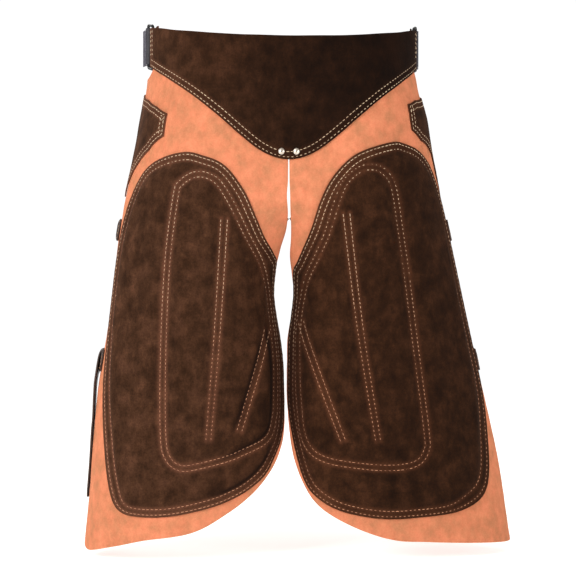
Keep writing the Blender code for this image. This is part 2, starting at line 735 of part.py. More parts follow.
def make_ring(side, name):
    """Rectangular waist ring between the yoke's fold and the belt's fold."""
    centre, along, _ = ring_frame(side)
    half = RING_INNER / 2 + RING_BAR / 2
    corners = ((RING_REACH, half, 0), (0, half, 90), (0, -half, 180), (RING_REACH, -half, 270))
    path = []
    for u, v, start in corners:
        middle_u = u + RING_CORNER * (1 if u == 0 else -1)
        middle_v = v - RING_CORNER * math.copysign(1, v)
        for turn in range(start, start + 91, 30):
            angle = math.radians(turn)
            path.append((middle_u + RING_CORNER * math.cos(angle),
                         middle_v + RING_CORNER * math.sin(angle)))
    points = [centre + along * u + np.array([0, 0, v + RING_RISE * u / RING_REACH]) for u, v in path]
    tube(name, points, RING_BAR / 2, "black_metal")


def ribbon(name, route, outward, width, thick, material_name, tip=0.0):
    """Flat strap along a route, its face turned outward; a tip rounds its far end."""
    route = np.array(route, dtype=float)
    outward = np.array(outward, dtype=float)
    run = np.gradient(route, axis=0)
    run /= np.linalg.norm(run, axis=1, keepdims=True)
    outward = outward - run * (outward * run).sum(axis=1)[:, None]
    outward /= np.linalg.norm(outward, axis=1, keepdims=True)
    across = np.cross(outward, run)
    left = np.linalg.norm(route[-1] - route, axis=1)
    half = np.full(len(route), width / 2)
    if tip:
        near = left < tip
        half[near] *= np.sqrt(np.clip(1 - (1 - left[near] / tip) ** 2 * 0.8, 0, 1))
    points = []
    for k in range(len(route)):
        for wide, deep in ((-1, -1), (1, -1), (1, 1), (-1, 1)):
            points.append(route[k] + across[k] * wide * half[k] + outward[k] * deep * thick / 2)
    faces = [[3, 2, 1, 0]]
    for k in range(len(route) - 1):
        for j in range(4):
            a = 4 * k + j
            b = 4 * k + (j + 1) % 4
            faces.append([a, b, b + 4, a + 4])
    last = 4 * (len(route) - 1)
    faces.append([last, last + 1, last + 2, last + 3])
    made = add_object(name, points, faces, material_name)
    face_outward(made)


def plan_normals(route, centre):
    """Level directions away from a centre, square to the route."""
    route = np.array(route, dtype=float)
    run = np.gradient(route, axis=0)
    normal = np.stack([run[:, 1], -run[:, 0], np.zeros(len(run))], -1)
    normal /= np.linalg.norm(normal, axis=1, keepdims=True)
    if ((route - centre) * normal).sum(axis=1).mean() < 0:
        normal = -normal
    return normal


def hook(bar, along, outward, radius, thick, length, settle):
    """Route of a strap's end: from its inner ply round a bar and out along its outer ply."""
    reach = radius + BAR_CLEAR + thick / 2
    points = [bar - along * length * far + outward * (settle * share - reach)
              for far, share in HOOK_HEEL]
    points.append(bar - along * radius - outward * reach)
    for degrees in HOOK_TURN:
        angle = math.radians(degrees)
        points.append(bar + along * reach * math.cos(angle) + outward * reach * math.sin(angle))
    return points


def over_folded_tab(thick):
    """Distance out from a slide's bars to a strap's middle where it lies on the folded tab."""
    return BAR_CORNER + BAR_CLEAR + thick + PLY_SPACE + thick / 2


def threaded(middle, along, outward, thick):
    """Route through a slide: under its far bar, over its middle bar and over the folded tab."""
    level_out = BAR / 2 + THREAD_GAP + thick / 2
    over_tab = over_folded_tab(thick)
    return [middle + along * u + outward * v for u, v in (
        (BAR_PITCH + 8, -level_out), (BAR_PITCH + 2, -level_out), (BAR_PITCH - 3, -level_out + 0.2),
        (BAR_PITCH / 2, 0.0), (3, level_out - 0.2), (-3, level_out + 0.6), (-BAR_PITCH / 2, over_tab - 0.3),
        (-BAR_PITCH + 3, over_tab), (-BAR_PITCH - 4, over_tab))]


def make_slide(name, middle, along, outward, width, material_name):
    """Three-bar slide buckle."""
    inner = width / 2 + FRAME_SPARE / 2
    outer = inner + BAR
    lengths = (-BAR_PITCH - BAR / 2, -BAR_PITCH + BAR / 2, -BAR / 2, BAR / 2, BAR_PITCH - BAR / 2,
               BAR_PITCH + BAR / 2)
    widths = (-outer, -inner, inner, outer)
    up = np.cross(outward, along)
    points = []
    for deep in (-BAR / 2, BAR / 2):
        for u in lengths:
            for v in widths:
                points.append(middle + along * u + up * v + outward * deep)
    rows = len(lengths)
    places = len(widths)

    def at(deep, i, j):
        return deep * rows * places + i * places + j

    solid = {(i, j) for i in range(rows - 1) for j in range(places - 1) if not (j == 1 and i in (1, 3))}
    faces = []
    for i, j in sorted(solid):
        faces.append([at(1, i, j), at(1, i + 1, j), at(1, i + 1, j + 1), at(1, i, j + 1)])
        faces.append([at(0, i, j + 1), at(0, i + 1, j + 1), at(0, i + 1, j), at(0, i, j)])
        for (di, dj), ends in (((-1, 0), ((i, j), (i, j + 1))), ((1, 0), ((i + 1, j + 1), (i + 1, j))),
                               ((0, -1), ((i + 1, j), (i, j))), ((0, 1), ((i, j + 1), (i + 1, j + 1)))):
            if (i + di, j + dj) not in solid:
                a, b = ends
                faces.append([at(1, *b), at(0, *b), at(0, *a), at(1, *a)])
    made = add_object(name, points, faces, material_name, smooth=False)
    face_outward(made)


def side_frame(side, height):
    """Place on the panel's side edge at a height, with its directions along the leather and outward."""
    edge = smooth_line(SIDE_EDGE[side], 4.0)
    across = float(np.interp(-height, -edge[:, 1], edge[:, 0]))
    here = np.array([across])
    level_at = np.array([height])
    place = leg_form(side, here, level_at)[0]
    along = (leg_form(side, here + 1, level_at) - leg_form(side, here - 1, level_at))[0]
    along[2] = 0.0
    along /= np.linalg.norm(along)
    outward = leg_normal(side, here, level_at)[0]
    outward -= along * float(np.dot(outward, along))
    outward /= np.linalg.norm(outward)
    return across, place, along, outward


def beside_edge(side, edge, across, height, out):
    """Point on a leg panel, or straight on from its side edge where it is passed."""
    across = np.asarray(across, float)
    height = np.asarray(height, float)
    held = np.minimum(across, edge)
    at_edge = np.full(held.shape, edge)
    along = leg_form(side, at_edge + 1, height) - leg_form(side, at_edge - 1, height)
    along /= np.linalg.norm(along, axis=-1, keepdims=True)
    return leg_point(side, held, height, out) + along * (across - held)[..., None]


def hook_directions(along, outward, plain):
    """Outward directions that go with a hook's route."""
    arc = [math.radians(degrees) for degrees in HOOK_TURN]
    return [-outward] * plain + [along * math.cos(angle) + outward * math.sin(angle) for angle in arc]


def make_tab(side, height, word, edge, heel, along, outward):
    """Short tab sewn on the panel's side edge and folded round the slide's near bar."""
    sewn = np.concatenate([np.linspace(edge - TAB_SEWN, edge, 5), [edge + TAB_REACH / 2]])[::-1]
    heights = np.full(len(sewn), height)
    tab_out = np.full(len(sewn), LAY_GAP + STRAP_THICK / 2)
    route = hook(heel, along, outward, BAR_CORNER, STRAP_THICK, TAB_REACH - BAR, TAB_SETTLE)
    route += list(beside_edge(side, edge, sewn, heights, tab_out))
    directions = hook_directions(along, outward, 4)
    directions += list(leg_normal(side, np.minimum(sewn, edge), heights))
    ribbon(f"strap_tab_{word}", route, directions, STRAP_WIDTH, STRAP_THICK, "strap_leather")


def strap_loop(side, height, middle, along, outward):
    """Strap's route from inside the panel's inner edge round the back of the leg to its slide."""
    inner = np.array(INNER_EDGE[side])[::-1]
    start = float(np.interp(-height, -inner[:, 1], inner[:, 0]))
    anchor = np.linspace(start + ANCHOR_INSET + ANCHOR_LENGTH, start + ANCHOR_INSET, 5)
    heights = np.full(len(anchor), height)
    anchor_out = np.full(len(anchor), -PANEL_WALL - ANCHOR_GAP - STRAP_THICK / 2)
    held = leg_point(side, anchor, heights, anchor_out)
    at = {name: float(column(SECTIONS[side], k, np.array([height]))[0])
          for k, name in enumerate(SECTION_COLUMNS)}
    at["back"] = STRAP_BACK
    behind = [(side * (at[x_from] + aside), at[y_from] + further, height)
              for x_from, aside, y_from, further in BEHIND_LEG]
    through = threaded(middle, along, outward, STRAP_THICK)
    loop = smooth_line(list(held) + behind + through[:2], ROUTE_STEP)
    directions = plan_normals(loop, np.array([side * at["crest_x"], 0.0, height]))
    share = np.clip(1 - np.linalg.norm(loop - held[-1], axis=1) / ANCHOR_BLEND, 0, 1)[:, None]
    normals = leg_normal(side, anchor, heights)
    directions = directions * (1 - share) + normals[-1] * share
    directions[: len(held)] = normals
    return list(loop)[:-2] + through[1:], list(directions)[:-2] + [outward] * (len(through) - 1)


def make_leg_strap(side, height, word, hanging):
    """Strap round the back of a leg with its slide, its tab and its free end."""
    edge, place, along, outward = side_frame(side, height)
    tab_out = LAY_GAP + STRAP_THICK / 2
    bar_out = tab_out - BAR_CORNER - BAR_CLEAR - STRAP_THICK / 2
    heel = place + along * TAB_REACH + outward * bar_out
    middle = heel + along * BAR_PITCH
    make_tab(side, height, word, edge, heel, along, outward)
    make_slide(f"strap_slide_{word}", middle, along, outward, STRAP_WIDTH, "black_metal")
    route, directions = strap_loop(side, height, middle, along, outward)
    over = tab_out + STRAP_THICK + OVER_TAB
    turn_from = edge + HANG_TURN_FROM if hanging else edge + TAB_REACH - FREE_END
    free = np.arange(edge + TAB_REACH - ROUTE_STEP + 2, turn_from - 1, -FREE_END_STEP)
    places = [(across, height, over) for across in free]
    if hanging:
        places += hanging_places(float(free[-1]), height, over)
    across, level_at, out = np.array(places).T
    route += list(beside_edge(side, edge, across, level_at, out))
    directions += list(leg_normal(side, np.minimum(across, edge), level_at))
    ribbon(f"leg_strap_{word}", route, directions, STRAP_WIDTH, STRAP_THICK, "strap_leather",
           tip=STRAP_TIP)


def hanging_places(across, height, over):
    """Free end that turns down past its tab and hangs against the side of the leg."""
    places = []
    for degrees in HANG_TURNS:
        angle = math.radians(degrees)
        places.append((across - HANG_BEND * math.sin(angle),
                       height - HANG_BEND * (1 - math.cos(angle)), over))
    last_across, last_height, _ = places[-1]
    settled = LAY_GAP + STRAP_THICK / 2 + BAR_CLEAR
    for drop in np.arange(ROUTE_STEP, HANGING_END - HANG_BEND, HANG_STEP):
        share = min(1.0, (drop - ROUTE_STEP) / HANG_SETTLE)
        places.append((last_across + HANG_SLANT * drop, last_height - drop,
                       over + (settled - over) * share))
    return places


def belt_curve(side, bar):
    """Half of the belt's line in plan, from behind a ring to the middle of the back."""
    reach = abs(bar[0]) + BELT_OUTSIDE_RING
    start = bar[1] + BELT_BEHIND_RING
    points = []
    for degrees in BELT_TURNS:
        angle = math.radians(degrees)
        back = start + (BELT_BACK - start) * math.sin(angle)
        points.append(np.array([side * reach * math.cos(angle), back, bar[2]]))
    return points


def make_belt():
    """Two halves of webbing from the rings to a slide at the back."""
    slide_at = np.array([-SLIDE_ASIDE, BELT_BACK, RING_LEVEL + RING_RISE])
    toe = np.array([1.0, 0.0, 0.0])
    back = np.array([0.0, 1.0, 0.0])
    waist = np.array([0.0, 0.0, slide_at[2]])
    heel = slide_at - toe * BAR_PITCH
    tab = hook(heel, toe, back, BAR_CORNER, BELT_THICK, *SLIDE_HOOK)[::-1]
    through = threaded(slide_at, toe, back, BELT_THICK)
    over = over_folded_tab(BELT_THICK)
    free = [slide_at - toe * (BAR_PITCH + run) + back * (over - BELT_END_CURL * (run - BELT_CURL_FROM) ** 2)
            for run in np.arange(BELT_FREE_FROM, BELT_FREE_END, BELT_FREE_STEP)]
    before_tab = heel - toe * BELT_BEFORE_TAB + back * (BAR_CORNER + BAR_CLEAR + BELT_THICK / 2)
    ends = {
        LEFT: ([before_tab, tab[0]], 1, tab, hook_directions(toe, back, 4)[::-1]),
        RIGHT: (through[:2], 2, through[1:] + free, [back] * (len(through) - 1 + len(free))),
    }
    for side, name in ((LEFT, "belt_left"), (RIGHT, "belt_right")):
        centre, along, outward = ring_frame(side)
        bar = centre + along * RING_REACH + np.array([0, 0, RING_RISE])
        ring_hook = hook(bar, -along, outward, RING_BAR / 2, BELT_THICK, *RING_HOOK)
        join, dropped, end_route, end_directions = ends[side]
        half = belt_curve(side, bar)
        if side == LEFT:
            half = half[:-1]
        run = smooth_line([ring_hook[-1]] + half + join, ROUTE_STEP)
        directions = list(plan_normals(run, waist))[1:-dropped]
        route = ring_hook + list(run)[1:-dropped] + end_route
        directions = hook_directions(-along, outward, 4) + directions + end_directions
        ribbon(name, route, directions, BELT_WIDTH, BELT_THICK, "black_webbing",
               tip=BELT_TIP if side == RIGHT else 0.0)
    make_slide("belt_slide", slide_at, toe, back, BELT_WIDTH, "black_metal")


def disc(name, centre, outward, radius, height, dome, material_name):
    """Round rivet head or washer that stands on the leather."""
    up = np.array([0.0, 0.0, 1.0])
    level_dir = np.cross(up, outward)
    level_dir /= np.linalg.norm(level_dir)
    up = np.cross(outward, level_dir)
    sides = DISC_SIDES
    rows = (
        (radius, 0.0),
        (radius, height),
        (radius * 0.72, height + dome * 0.6),
        (radius * 0.36, height + dome),
    )
    points = []
    for size, lift in rows:
        for angle in np.arange(sides) * 2 * math.pi / sides:
            spoke = level_dir * math.cos(angle) + up * math.sin(angle)
            points.append(centre + outward * lift + spoke * size)
    faces = [list(range(sides))[::-1], list(range(3 * sides, 4 * sides))]
    for k in range(3):
        for j in range(sides):
            after = (j + 1) % sides
            low = k * sides
            high = low + sides
            faces.append([low + j, low + after, high + after, high + j])
    made = add_object(name, points, faces, material_name)
    face_outward(made)


def make_rivets():
    """Rivet at each side of the yoke's point, with its washer behind the leg panel."""
    for side, word in ((LEFT, "left"), (RIGHT, "right")):
        across = np.array([RIVET_ACROSS])
        height = np.array([RIVET_HEIGHT])
        outward = leg_normal(side, across, height)[0]
        cap_out = np.array([LAY_GAP + YOKE_WALL + RIVET_CLEAR])
        cap = leg_point(side, across, height, cap_out)[0]
        disc(f"rivet_{word}", cap, outward, RIVET_SIZE / 2, RIVET_RIM, RIVET_DOME, "nickel")
        washer_out = np.array([-PANEL_WALL - WASHER_CLEAR])
        washer = leg_point(side, across, height, washer_out)[0]
        disc(f"rivet_washer_{word}", washer, -outward, RIVET_SIZE / 2, WASHER_RIM, WASHER_DOME, "nickel")


def build():
    """Make every piece of the apron."""
    for old in list(bpy.data.objects):
        bpy.data.objects.remove(old, do_unlink=True)
    for side, word in ((LEFT, "left"), (RIGHT, "right")):
        make_panel(side, f"panel_{word}")
        make_pad(side, f"knee_pad_{word}")
        make_pocket(side, f"knife_pocket_{word}")
        make_ring(side, f"ring_{word}")
        make_leg_strap(side, STRAP_LEVELS[0], f"upper_{word}", False)
        make_leg_strap(side, STRAP_LEVELS[1], f"lower_{word}", side == LEFT)
    make_yoke()
    make_belt()
    make_rivets()


build()
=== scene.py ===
# %% [markdown]
# # A farrier's apron in split leather
#
# A farrier stands under a horse with the hoof held between the knees, so the apron is cut as two leg
# panels that hang from one yoke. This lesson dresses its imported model: suede, quilting, thread,
# webbing and metal. The apron is shown as it is worn, with nobody in it, held up at the waist.

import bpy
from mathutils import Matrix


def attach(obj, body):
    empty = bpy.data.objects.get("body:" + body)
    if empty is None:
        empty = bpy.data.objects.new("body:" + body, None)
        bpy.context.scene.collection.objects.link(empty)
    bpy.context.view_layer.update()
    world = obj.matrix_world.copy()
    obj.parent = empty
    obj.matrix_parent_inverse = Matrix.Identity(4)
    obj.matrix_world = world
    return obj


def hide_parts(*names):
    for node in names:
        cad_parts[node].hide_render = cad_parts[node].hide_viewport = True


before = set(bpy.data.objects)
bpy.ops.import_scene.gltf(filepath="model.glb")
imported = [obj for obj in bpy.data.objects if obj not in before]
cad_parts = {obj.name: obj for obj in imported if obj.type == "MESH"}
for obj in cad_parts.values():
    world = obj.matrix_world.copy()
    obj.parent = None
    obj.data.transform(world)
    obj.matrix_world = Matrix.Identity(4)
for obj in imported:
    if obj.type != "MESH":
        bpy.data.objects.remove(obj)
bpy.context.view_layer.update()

# %% Tools for the lesson
import math

import bmesh
import bpy
import numpy as np
from mathutils import Vector
from mathutils.geometry import delaunay_2d_cdt

MM = 0.001
LEFT = -1
RIGHT = 1
WORDS = {LEFT: "left", RIGHT: "right"}
SCENE = bpy.context.scene

# %% [markdown]
# ## The camera
#
# The picture was taken from about two and a half metres, level with the thighs and a few degrees
# toward the left leg, so lines that run back into the picture hardly close in. The focal length
# follows from how many pixels one radian takes in a picture 576 pixels wide.

# %% Camera
PICTURE = 576
PIXELS_PER_RADIAN = 1721.8
CAMERA_DISTANCE = 2.4
CAMERA_HEIGHT = -0.331
CAMERA_YAW = math.radians(4.5)
ORIGIN_PIXEL = 281.5

camera_data = bpy.data.cameras.new("photo_camera")
camera_data.sensor_width = 36.0
camera_data.lens = PIXELS_PER_RADIAN / PICTURE * camera_data.sensor_width
camera_data.shift_x = (PICTURE / 2 - ORIGIN_PIXEL) / PICTURE
camera = bpy.data.objects.new("photo_camera", camera_data)
camera.location = (
    -CAMERA_DISTANCE * math.sin(CAMERA_YAW),
    -CAMERA_DISTANCE * math.cos(CAMERA_YAW),
    CAMERA_HEIGHT,
)
camera.rotation_euler = (math.radians(90), 0, -CAMERA_YAW)
SCENE.collection.objects.link(camera)
SCENE.camera = camera
print("lens", round(camera_data.lens, 1), "mm")

# %% [markdown]
# ## Light and floor
#
# Suede has no gloss, so its form shows only through how the light falls off. A broad soft light from
# the left and a weak fill from the right give the left leg its warmth. The darkening toward the right,
# where the yoke goes nearly black, is painted into the suede's colour as shade on top of that. The
# floor is plain and pale, just under the hems.

# %% Light and floor
FLOOR_HEIGHT = -0.692
SKY_LEVEL = 0.27
SKY_OVERHEAD = 0.9


def soft_light(name, place, target, size, watts, colour=(1.0, 1.0, 1.0)):
    """Add a square soft light that faces a target."""
    data = bpy.data.lights.new(name, "AREA")
    data.size = size
    data.energy = watts
    data.color = colour
    lamp = bpy.data.objects.new(name, data)
    lamp.location = place
    lamp.rotation_euler = (Vector(target) - Vector(place)).to_track_quat("-Z", "Y").to_euler()
    SCENE.collection.objects.link(lamp)


soft_light("key_light", (-2.3, -2.1, 0.9), (0, 0, -0.3), 1.3, 88, (1.0, 0.985, 0.965))
soft_light("fill_light", (2.6, -2.4, 0.2), (0, 0, -0.45), 1.4, 62, (1.0, 0.99, 0.97))
soft_light("rim_light", (-0.9, 2.4, 1.5), (0, 0, -0.3), 1.6, 26)

SCENE.world = bpy.data.worlds.new("studio")
SCENE.world.use_nodes = True
SCENE.view_settings.view_transform = "Standard"

floor_mesh = bpy.data.meshes.new("floor")
floor_mesh.from_pydata([(-4, -4, 0), (4, -4, 0), (4, 4, 0), (-4, 4, 0)], [], [(0, 1, 2, 3)])
floor = bpy.data.objects.new("floor", floor_mesh)
floor.location = (0, 0, FLOOR_HEIGHT)
SCENE.collection.objects.link(floor)


# %% [markdown]
# ## Colours and nodes
#
# Paint and dye are easiest to name as the hex values that a picture editor shows. Blender works in
# linear light, so one function turns them over. One more adds a node with its settings, its colour
# stops and its links.

# %% Colour and node helpers
def linear(text):
    """Turn an sRGB hex colour into linear red, green, blue and alpha."""
    parts = [int(text[k:k + 2], 16) / 255 for k in (0, 2, 4)]
    return tuple(v / 12.92 if v <= 0.04045 else ((v + 0.055) / 1.055) ** 2.4 for v in parts) + (1.0,)


def feed(tree, node, feeds):
    """Feed a node's inputs with values or with other nodes' outputs."""
    for name, value in feeds.items():
        if isinstance(value, bpy.types.NodeSocket):
            tree.links.new(value, node.inputs[name])
        else:
            node.inputs[name].default_value = value


def add_node(tree, kind, feeds=None, stops=(), **settings):
    """Add a node with its properties, its inputs and the (place, hex) stops of a colour ramp."""
    node = tree.nodes.new(kind)
    for name, value in settings.items():
        setattr(node, name, value)
    if stops:
        elements = node.color_ramp.elements
        while len(elements) < len(stops):
            elements.new(0.5)
        for element, (place, colour) in zip(elements, stops):
            element.position = place
            element.color = linear(colour)
    feed(tree, node, feeds or {})
    return node


def new_finish(name):
    """Start a material with its shader and the place on the object that its patterns follow."""
    finish = bpy.data.materials.new(name)
    finish.use_nodes = True
    tree = finish.node_tree
    place = add_node(tree, "ShaderNodeTexCoord").outputs["Object"]
    return finish, tree, tree.nodes["Principled BSDF"], place


# %% [markdown]
# ## The white studio
#
# The background is plain white to the camera. The light that it casts is weaker, and comes mostly
# from above, so it fills the shadows without washing out the stitched grooves.

# %% Studio light
tree = SCENE.world.node_tree
looked = add_node(tree, "ShaderNodeTexCoord").outputs["Generated"]
level = add_node(tree, "ShaderNodeSeparateXYZ", {0: looked}).outputs["Z"]
for operation, feeds in (("MAXIMUM", {1: 0.0}), ("POWER", {1: 2.0}),
                         ("MULTIPLY_ADD", {1: SKY_OVERHEAD, 2: SKY_LEVEL})):
    level = add_node(tree, "ShaderNodeMath", {0: level, **feeds}, operation=operation).outputs[0]
cast = tree.nodes["Background"]
feed(tree, cast, {"Color": linear("FFFCF8"), "Strength": level})
seen = add_node(tree, "ShaderNodeBackground", {"Color": (1, 1, 1, 1), "Strength": 1.05})
by_camera = add_node(tree, "ShaderNodeLightPath").outputs["Is Camera Ray"]
shown = add_node(tree, "ShaderNodeMixShader", {0: by_camera, 1: cast.outputs[0], 2: seen.outputs[0]})
tree.links.new(shown.outputs[0], tree.nodes["World Output"].inputs["Surface"])

# %% [markdown]
# ## Split leather
#
# Split leather is the inner layer of the hide, sanded to a short nap. The nap lies in patches that
# catch the light more or less, so a dyed suede looks blotched at hand's width and grainy up close.
# It has almost no mirror gloss, but its fibres shine softly where they are seen edge on, which the
# sheen layer gives. Three numbers stored on each mesh say where a stitched seam presses the nap
# flat and paints shade into its groove, where shade is painted nearly black into a sharp crease and
# where the knife left a raw edge. A ramp across each piece paints the light's fall-off from left to
# right into the colour as shade.

# %% Suede finish
HIDE_HALF = 0.28
# painted shade: the near-black colour that sharp creases are darkened toward
CREASE_SHADE_TONE = "160B06"
NAP_MM = 2.1
TUFT_MM = 7.0


def suede(name, patches, raw_edge, seam_press_and_shade_tone, blotch_mm, sheen, contrast, painted_shade_across):
    """Split leather dyed in the given patch colours, with painted shade across it from left to right."""
    finish, tree, shader, place = new_finish(name)
    upright = add_node(tree, "ShaderNodeMapping", {"Vector": place, "Scale": (1.0, 1.0, 0.5)}).outputs[0]
    patterns = []
    # fibres are finer than a pixel, so the nap is drawn at about two millimetres
    for vector, size_mm, detail, roughness in (
            (place, blotch_mm, 3.0, 0.6), (place, NAP_MM, 3.0, 0.7), (upright, TUFT_MM, 2.0, 0.6)):
        pattern = add_node(tree, "ShaderNodeTexNoise", {
            "Vector": vector, "Scale": 1 / (size_mm * MM), "Detail": detail, "Roughness": roughness})
        patterns.append(pattern.outputs["Fac"])
    blotches, nap, tufts = patterns
    colour = add_node(tree, "ShaderNodeValToRGB", {"Fac": blotches}, patches).outputs["Color"]
    across = add_node(tree, "ShaderNodeMapRange", {
        "Value": add_node(tree, "ShaderNodeSeparateXYZ", {0: place}).outputs["X"],
        "From Min": -HIDE_HALF, "From Max": HIDE_HALF}).outputs[0]
    greys = [add_node(tree, "ShaderNodeValToRGB", {"Fac": pattern}, stops).outputs["Color"]
             for pattern, stops in ((nap, ((0.3, "6E6E6E"), (0.7, "9A9A9A"))),
                                    (tufts, ((0.3, "727272"), (0.7, "8E8E8E"))))]
    marks = [add_node(tree, "ShaderNodeAttribute", attribute_name=word).outputs["Fac"]
             for word in ("seam", "fold", "edge")]
    # painted shade: the colour is multiplied darker across the piece from left to right, where the light
    # falls off
    dyed = add_node(tree, "ShaderNodeValToRGB", {"Fac": across}, painted_shade_across).outputs["Color"]
    layers = [(contrast, grey, "OVERLAY") for grey in greys]
    # seam tone: pressed nap with painted shade in the groove; fold tone: painted shade in a crease; raw edge:
    # the cut edge's own colour
    layers += [(mark, linear(tone), "MIX") for mark, tone in zip(marks, (seam_press_and_shade_tone, CREASE_SHADE_TONE, raw_edge))]
    layers.append((1.0, dyed, "MULTIPLY"))
    for share, layer, blend in layers:
        colour = add_node(tree, "ShaderNodeMix", {0: share, 6: colour, 7: layer},
                          data_type="RGBA", blend_type=blend).outputs[2]
    height = add_node(tree, "ShaderNodeMath", {0: nap, 1: tufts}, operation="ADD").outputs[0]
    bump = add_node(tree, "ShaderNodeBump", {"Strength": 0.55, "Distance": 0.0006, "Height": height})
    feed(tree, shader, {
        "Base Color": colour, "Normal": bump.outputs["Normal"], "Roughness": 0.95, "Specular IOR Level": 0.08,
        "Sheen Weight": sheen, "Sheen Roughness": 0.45, "Sheen Tint": linear(patches[-1][1])})
    return finish


# the last ramp of each finish paints shade from left to right, where the light falls off
tan_suede = suede(
    "tan_split_suede", ((0.3, "D0956B"), (0.5, "DA9D72"), (0.7, "E2A67B")), "E8B894", "AC6E48", 20, 0.15, 0.5,
    ((0.0, "FFFFFF"), (0.5, "FAFAFA"), (1.0, "F0EEEC")))
BROWN_PATCHES = ((0.32, "5C3A25"), (0.5, "774E35"), (0.66, "926146"))
# the brown's shade ramp also dips at the inner knees: painted shade with some dirt
brown_suede = suede(
    "brown_split_suede", BROWN_PATCHES, "6A4232", "6F4736", 22, 0.12, 0.95,
    ((0.0, "FFFFFF"), (0.3, "E2DED8"), (0.43, "CCC2B4"), (0.49, "766C60"), (0.51, "766C60"), (0.57, "CCC0AE"),
     (0.75, "AA9E8C"), (1.0, "A29682")))
# the yoke's shade ramp goes from plain brown at the left to nearly black at the right: painted shade
yoke_suede = suede(
    "brown_split_suede_yoke_shade", BROWN_PATCHES, "6A3A2A", "6A4434", 26, 0.12, 0.9,
    ((0.1, "FFFFFF"), (0.3, "BEB6AC"), (0.5, "8A8072"), (0.7, "645846"), (0.85, "4A3E22")))

# %% [markdown]
# Thread, webbing and metal are small here but they carry the maker's hand. The thread is a thick
# bonded cream polyester. The belt is ribbed nylon webbing with a satin face. The rings and slides are
# steel with a black coat, and the rivet caps are nickel plate over brass.

# %% Thread, webbing and metal finishes
SOIL_FROM = -0.15
SOIL_FULL = -0.45
PORE_MM = 1.6
RIB_PITCH_MM = 3.2
ROW_PITCH_MM = 2.6


def mottled(name, size_mm, colours, detail=3.0, places=(0.3, 0.7), **numbers):
    """Finish mottled between two colours, in spots about size_mm across, with its shader's numbers."""
    finish, tree, shader, place = new_finish(name)
    spots = add_node(tree, "ShaderNodeTexNoise", {
        "Vector": place, "Scale": 1 / (size_mm * MM), "Detail": detail}).outputs["Fac"]
    stops = tuple(zip(places, colours))
    colour = add_node(tree, "ShaderNodeValToRGB", {"Fac": spots}, stops).outputs["Color"]
    feed(tree, shader, {"Base Color": colour})
    feed(tree, shader, {word.replace("_", " "): value for word, value in numbers.items()})
    return finish, tree, shader, place, spots, colour


thread, tree, shader, place, handled, clean = mottled(
    "bonded_cream_thread", 30, ("B59A7E", "D8C0A0"), 2.0, Roughness=0.6)
stained = add_node(tree, "ShaderNodeValToRGB", {"Fac": handled}, ((0.3, "99674A"), (0.7, "C08A66")))
axes = add_node(tree, "ShaderNodeSeparateXYZ", {0: place}).outputs
low = add_node(tree, "ShaderNodeMapRange", {"Value": axes["Z"], "From Min": SOIL_FROM, "From Max": SOIL_FULL})
# painted shade with some dirt: beside the inner knees the thread's stained colour is darkened where the rows
# sink into shadow
beside_knee = add_node(tree, "ShaderNodeMapRange", {
    "Value": axes["X"], "From Min": -HIDE_HALF, "From Max": HIDE_HALF})
knee_shade_and_dirt = add_node(tree, "ShaderNodeValToRGB", {"Fac": beside_knee.outputs[0]}, (
    (0.43, "FFFFFF"), (0.48, "8A7C70"), (0.52, "8A7C70"), (0.57, "FFFFFF")))
stained = add_node(tree, "ShaderNodeMix", {0: 1.0, 6: stained.outputs[0], 7: knee_shade_and_dirt.outputs[0]},
                   data_type="RGBA", blend_type="MULTIPLY")
soiled = add_node(tree, "ShaderNodeMix", {0: low.outputs[0], 6: clean, 7: stained.outputs[2]},
                  data_type="RGBA")
feed(tree, shader, {"Base Color": soiled.outputs[2]})

strap_leather, tree, shader, place, _, _ = mottled("waxed_strap_leather", 24, ("2A1A12", "3D281C"))
pores = add_node(tree, "ShaderNodeTexNoise", {
    "Vector": place, "Scale": 1 / (PORE_MM * MM), "Detail": 3.0, "Roughness": 0.7}).outputs["Fac"]
bump = add_node(tree, "ShaderNodeBump", {"Strength": 0.4, "Distance": 0.0003, "Height": pores})
waxed = add_node(tree, "ShaderNodeMapRange", {"Value": pores, "To Min": 0.45, "To Max": 0.65})
feed(tree, shader, {"Normal": bump.outputs["Normal"], "Roughness": waxed.outputs[0]})

webbing, tree, shader, _ = new_finish("black_nylon_webbing")
woven = add_node(tree, "ShaderNodeUVMap", uv_map="strap").outputs["UV"]
ribs, rows = [
    add_node(tree, "ShaderNodeTexWave", {
        "Vector": woven, "Scale": 1 / (2 * pitch_mm * MM), "Distortion": distortion},
        wave_type="BANDS", bands_direction=direction).outputs["Fac"]
    for pitch_mm, distortion, direction in ((RIB_PITCH_MM, 0.4, "X"), (ROW_PITCH_MM, 0.2, "Y"))]
weave = add_node(tree, "ShaderNodeMath", {0: ribs, 1: rows}, operation="MULTIPLY").outputs[0]
nylon = add_node(tree, "ShaderNodeValToRGB", {"Fac": weave}, ((0.1, "17161A"), (0.9, "35333B")))
bump = add_node(tree, "ShaderNodeBump", {"Strength": 0.7, "Distance": 0.0005, "Height": weave})
feed(tree, shader, {
    "Base Color": nylon.outputs["Color"], "Normal": bump.outputs["Normal"], "Roughness": 0.42,
    "Sheen Weight": 0.4, "Sheen Tint": linear("8A86A0")})

black_steel, tree, shader, place, coat, _ = mottled(
    "black_coated_steel", 3.0, ("0B0B0D", "18181B"), Metallic=0.5)
satin = add_node(tree, "ShaderNodeMapRange", {"Value": coat, "To Min": 0.28, "To Max": 0.42})
feed(tree, shader, {"Roughness": satin.outputs[0]})

